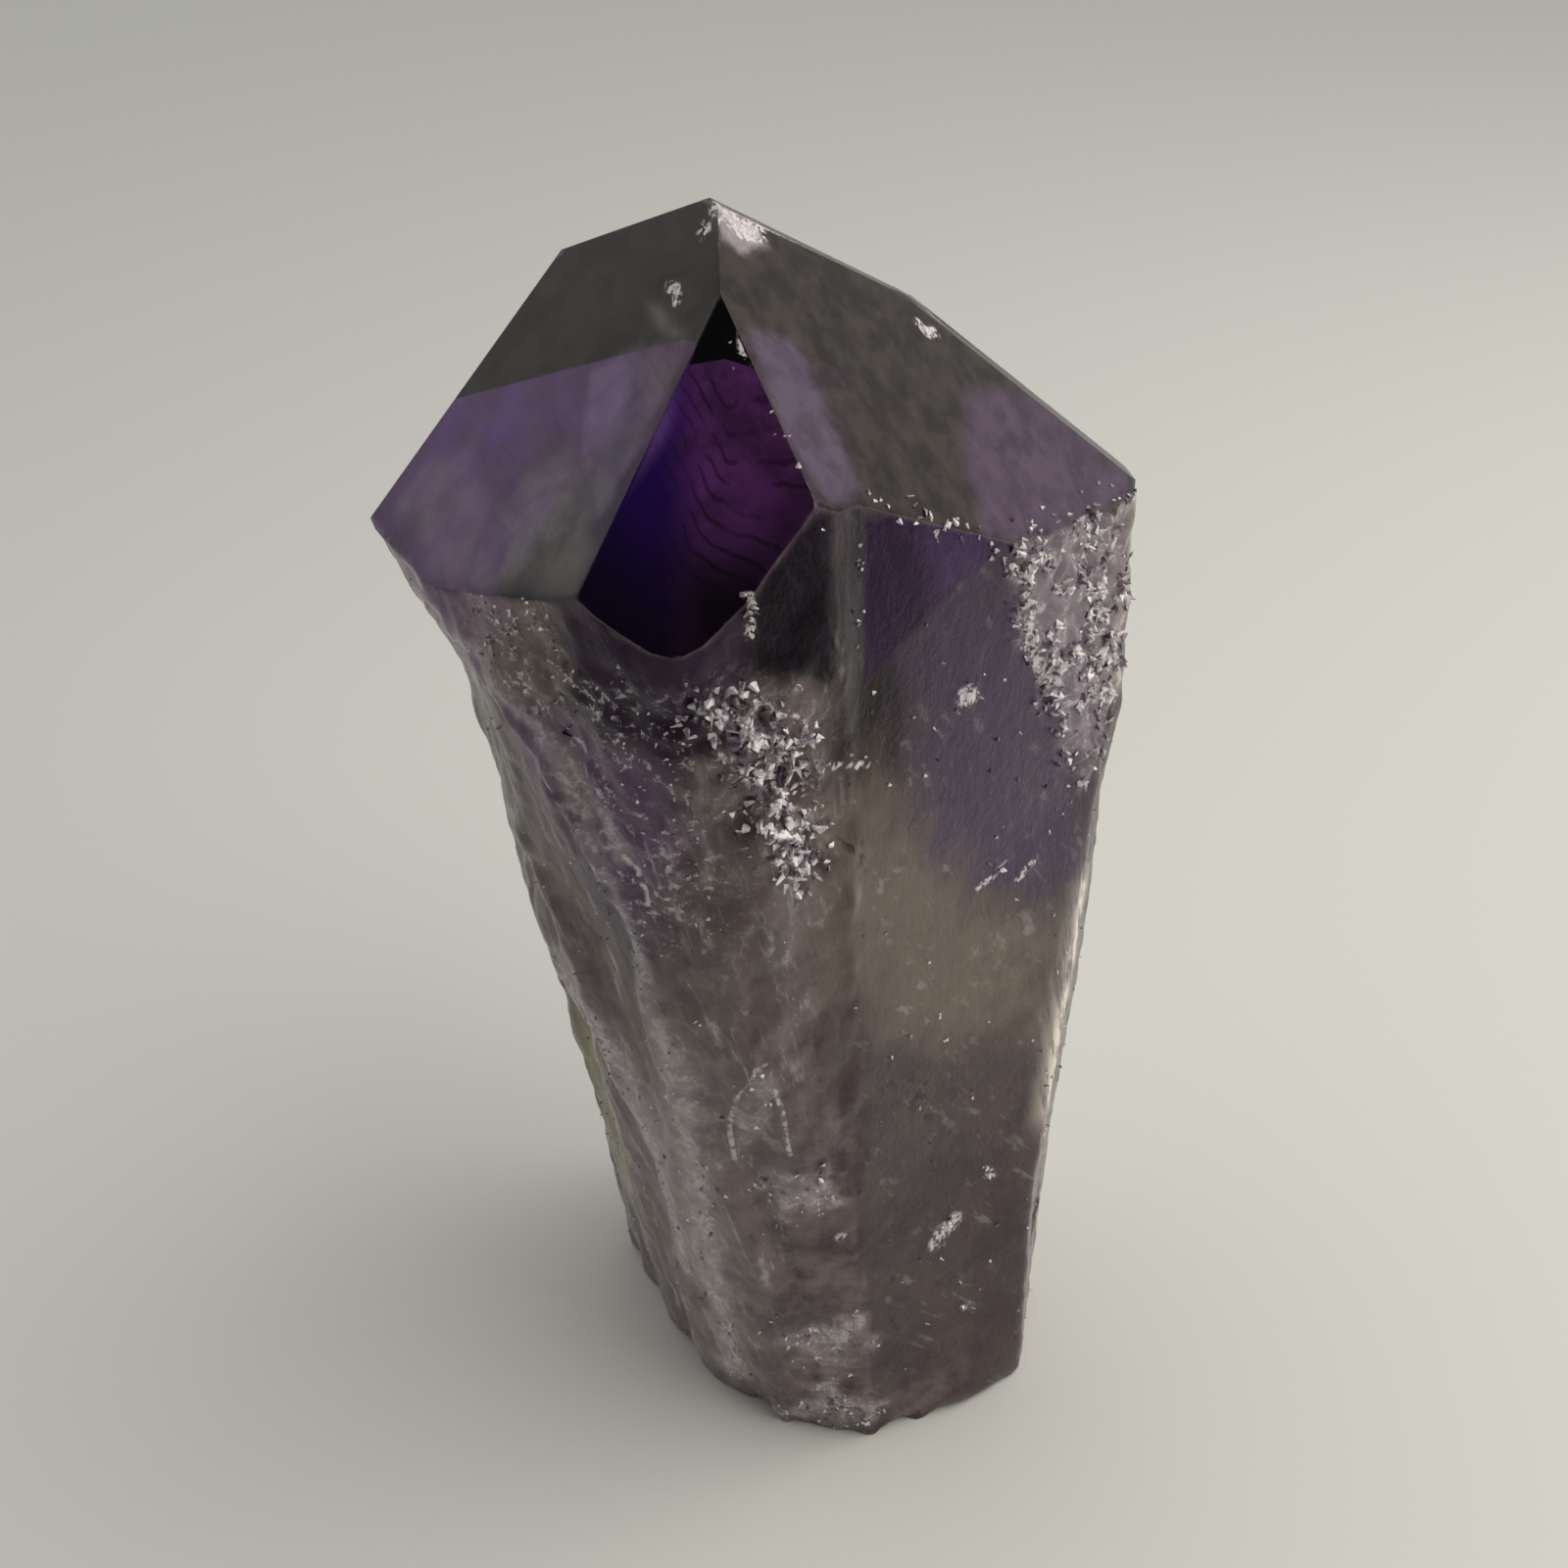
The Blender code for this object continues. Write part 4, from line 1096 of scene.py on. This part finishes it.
def narrower_column():
    """The crystal drawn in towards its middle line at every height."""
    bm = merged_copy()
    places = np.array([vert.co for vert in bm.verts])
    heights, shares = zip(*CORE_WIDTH)
    for vert in bm.verts:
        share = np.interp(vert.co.z, heights, shares)
        level = places[np.abs(places[:, 2] - min(vert.co.z, LEVEL_TOP)) < LEVEL_HALF]
        middle = (level[:, :2].min(0) + level[:, :2].max(0)) / 2
        vert.co.x = middle[0] + (vert.co.x - middle[0]) * share
        vert.co.y = middle[1] + (vert.co.y - middle[1]) * share
        vert.co.z = max(vert.co.z, CORE_LIFT)
    return bm


def cut_away(bm, point, normal):
    """Remove what lies outside a plane and close the cut."""
    bmesh.ops.bisect_plane(bm, geom=bm.verts[:] + bm.edges[:] + bm.faces[:], dist=1e-4,
                           plane_co=point, plane_no=normal, clear_outer=True)
    bmesh.ops.holes_fill(bm, edges=[edge for edge in bm.edges if edge.is_boundary])


def outer_planes():
    """Every sloping face of the point, as a point and a normal, largest first."""
    bm = merged_copy()
    groups = sorted(flat_groups(bm), key=lambda group: -sum(face.calc_area() for face in group))
    planes = [(group[0].calc_center_median(), group[0].normal.copy()) for group in groups]
    bm.free()
    return planes


def core_mesh(planes, drop, slow_faces=()):
    """The narrower column cut by the outer faces moved down, each by its own drop."""
    bm = narrower_column()
    for point, normal in planes:
        own = [less for way, less in slow_faces if normal.dot(Vector(way)) > SAME_FACE]
        cut_away(bm, point - Vector((0, 0, own[0] if own else drop)), normal)
    return bm


planes = outer_planes()
print("faces of the point:", [tuple(round(v, 2) for v in normal) for _, normal in planes])
phantom_bm = core_mesh(planes, PHANTOM_DROP, SLOW_FACES)
smoky_bm = core_mesh(planes, BACK_DROP)
for point, normal in SMOKY_FRONTS:
    cut_away(smoky_bm, Vector(point), Vector(normal))
print("core's top:", round(max(vert.co.z for vert in phantom_bm.verts), 1))

# %% Core materials
BAND_SPACING, BAND_BEND = 1.3, 6.0   # growth bands: mm apart, and mm from one bend to the next
BAND_WANDER = 1.7                    # how far they bend, in bands
BAND_SLOPE = 0.55                    # how much the bands fall towards the right
CORE_PURPLE, CORE_PLUM, CORE_VIOLET, CORE_MAUVE = "#A45AC4", "#74408C", "#B67CFF", "#A074C8"
CORE_BLUE, CORE_INDIGO, CORE_NIGHT = "#440E9A", "#1A0440", "#22082E"
CORE_OLIVE, CORE_BAND = "#4A4042", "#120418"
CLOUDY = ("#655556", "#807272")                 # the core's two tones low down
SMOKY = ("#1A1418", "#241C22", "#0A070C")       # the smoky zone's two tones, and its tone near the point
CORE_TINTS = (("violet", "#5A3A7C"), ("plum", "#3A2050"), ("haze", "#857868"))
TOP_FADE = (0.086, 0.097)                       # heights in metres between the low and the high colours
CORE_CUTS = {                        # places in mm, or values of a noise, that give nothing and all
    "clouds": (0.36, 0.64), "pale_clouds": (0.34, 0.66), "left_x": (-4.4, -8.8), "blue_z": (102.0, 109.5),
    "far_left_y": (-4.5, -1.5), "far_left_x": (-6.0, -8.5), "right_x": (2.4, 4.6),
    "night_z": (110.6, 104.6), "night_y": (-8.0, -12.5), "night_x": (-10.5, -5.0),
    "broken": (0.40, 0.60), "bands": (0.50, 1.0, 0.0, 0.60)}


def core_colour(tree, place):
    """The phantom's colours near the point, by place on its faces, in metres."""
    def part(name, value):
        return ranged(tree, value, *CORE_CUTS[name])

    parts = add(tree, "ShaderNodeSeparateXYZ", {0: place})
    x, y, z = (maths(tree, "DIVIDE", parts.outputs[axis], MM) for axis in "XYZ")
    clouds = noise_node(tree, place, 5.0, 4.0, 0.6)
    wander = maths(tree, "MULTIPLY_ADD", clouds, 4.0, -2.0)
    wave = maths(tree, "MULTIPLY_ADD", noise_node(tree, place, BAND_BEND, 2.0, 0.5), BAND_WANDER,
                 maths(tree, "DIVIDE", maths(tree, "MULTIPLY_ADD", x, BAND_SLOPE, z), BAND_SPACING))
    bands = maths(tree, "SINE", times(tree, wave, 2 * math.pi))
    tone = mix_colour(tree, part("clouds", clouds), linear(CORE_PURPLE), linear(CORE_PLUM))
    left = part("left_x", maths(tree, "ADD", x, wander))
    deep = mix_colour(tree, part("blue_z", maths(tree, "MULTIPLY_ADD", wander, 0.5, z)),
                      linear(CORE_INDIGO), linear(CORE_BLUE))
    tone = mix_colour(tree, left, tone, deep)
    far_left = times(tree, part("far_left_y", maths(tree, "SUBTRACT", y, maths(tree, "MULTIPLY", x, 0.35))),
                     part("far_left_x", x))
    pale = mix_colour(tree, part("pale_clouds", clouds), linear(CORE_VIOLET), linear(CORE_MAUVE))
    tone = mix_colour(tree, far_left, tone, pale)
    tone = mix_colour(tree, part("right_x", maths(tree, "ADD", x, wander)), tone, linear(CORE_OLIVE))
    night = times(tree, part("night_z", maths(tree, "MULTIPLY_ADD", wander, 1.2, z)), part("night_y", y),
                  part("night_x", x))
    tone = mix_colour(tree, night, tone, linear(CORE_NIGHT))
    thin = rest_of(tree, times(tree, left, 0.7), times(tree, far_left, 0.8))
    broken = part("broken", noise_node(tree, place, 4.5, 2.0, 0.5))
    lines = times(tree, part("bands", bands), thin, broken)
    return mix_colour(tree, lines, tone, linear(CORE_BAND))


def core_material(name, low_colour, low_pale, high=None):
    """Cloudy quartz: soft patches of two tones, and the phantom's own colours near the point."""
    material, tree, out = new_material(name)
    place = add(tree, "ShaderNodeTexCoord").outputs["Object"]
    height = add(tree, "ShaderNodeSeparateXYZ", {0: place}).outputs["Z"]
    clouds = ranged(tree, noise_node(tree, place, 7.0, 4.0, 0.6), *CORE_CUTS["clouds"])
    colour = mix_colour(tree, clouds, linear(low_colour), linear(low_pale))
    if high is None:
        for mask, tint in CORE_TINTS:
            colour = mix_colour(tree, named_mask(tree, mask), colour, linear(tint))
        top = core_colour(tree, place)
    else:
        top = linear(high)
    colour = mix_colour(tree, ranged(tree, height, *TOP_FADE), colour, top)
    shader = add(tree, "ShaderNodeBsdfPrincipled", {"Base Color": colour, "Roughness": 0.8})
    shader.inputs["Specular IOR Level"].default_value = 0.0
    tree.links.new(shader.outputs[0], out.inputs["Surface"])
    return material


def zone_masks(bm):
    """The colour zones at the core's points."""
    points, normals, _ = arrays_of(bm)
    masks = surface_masks(points, normals, np.zeros(len(points), bool))
    return {name: masks[name] for name in ("violet", "plum", "haze")}


def add_core(name, bm, material):
    masks = zone_masks(bm)
    piece = finished_object(name, bm)
    store_masks(piece.data, masks)
    piece.data.materials.append(material)
    return piece


add_core("phantom_core", phantom_bm, core_material("cloudy_amethyst", *CLOUDY))
add_core("smoky_zone", smoky_bm, core_material("dark_smoky_quartz", *SMOKY))
print("materials:", sorted(material.name for material in bpy.data.materials))

# %% Finish
bpy.context.view_layer.update()
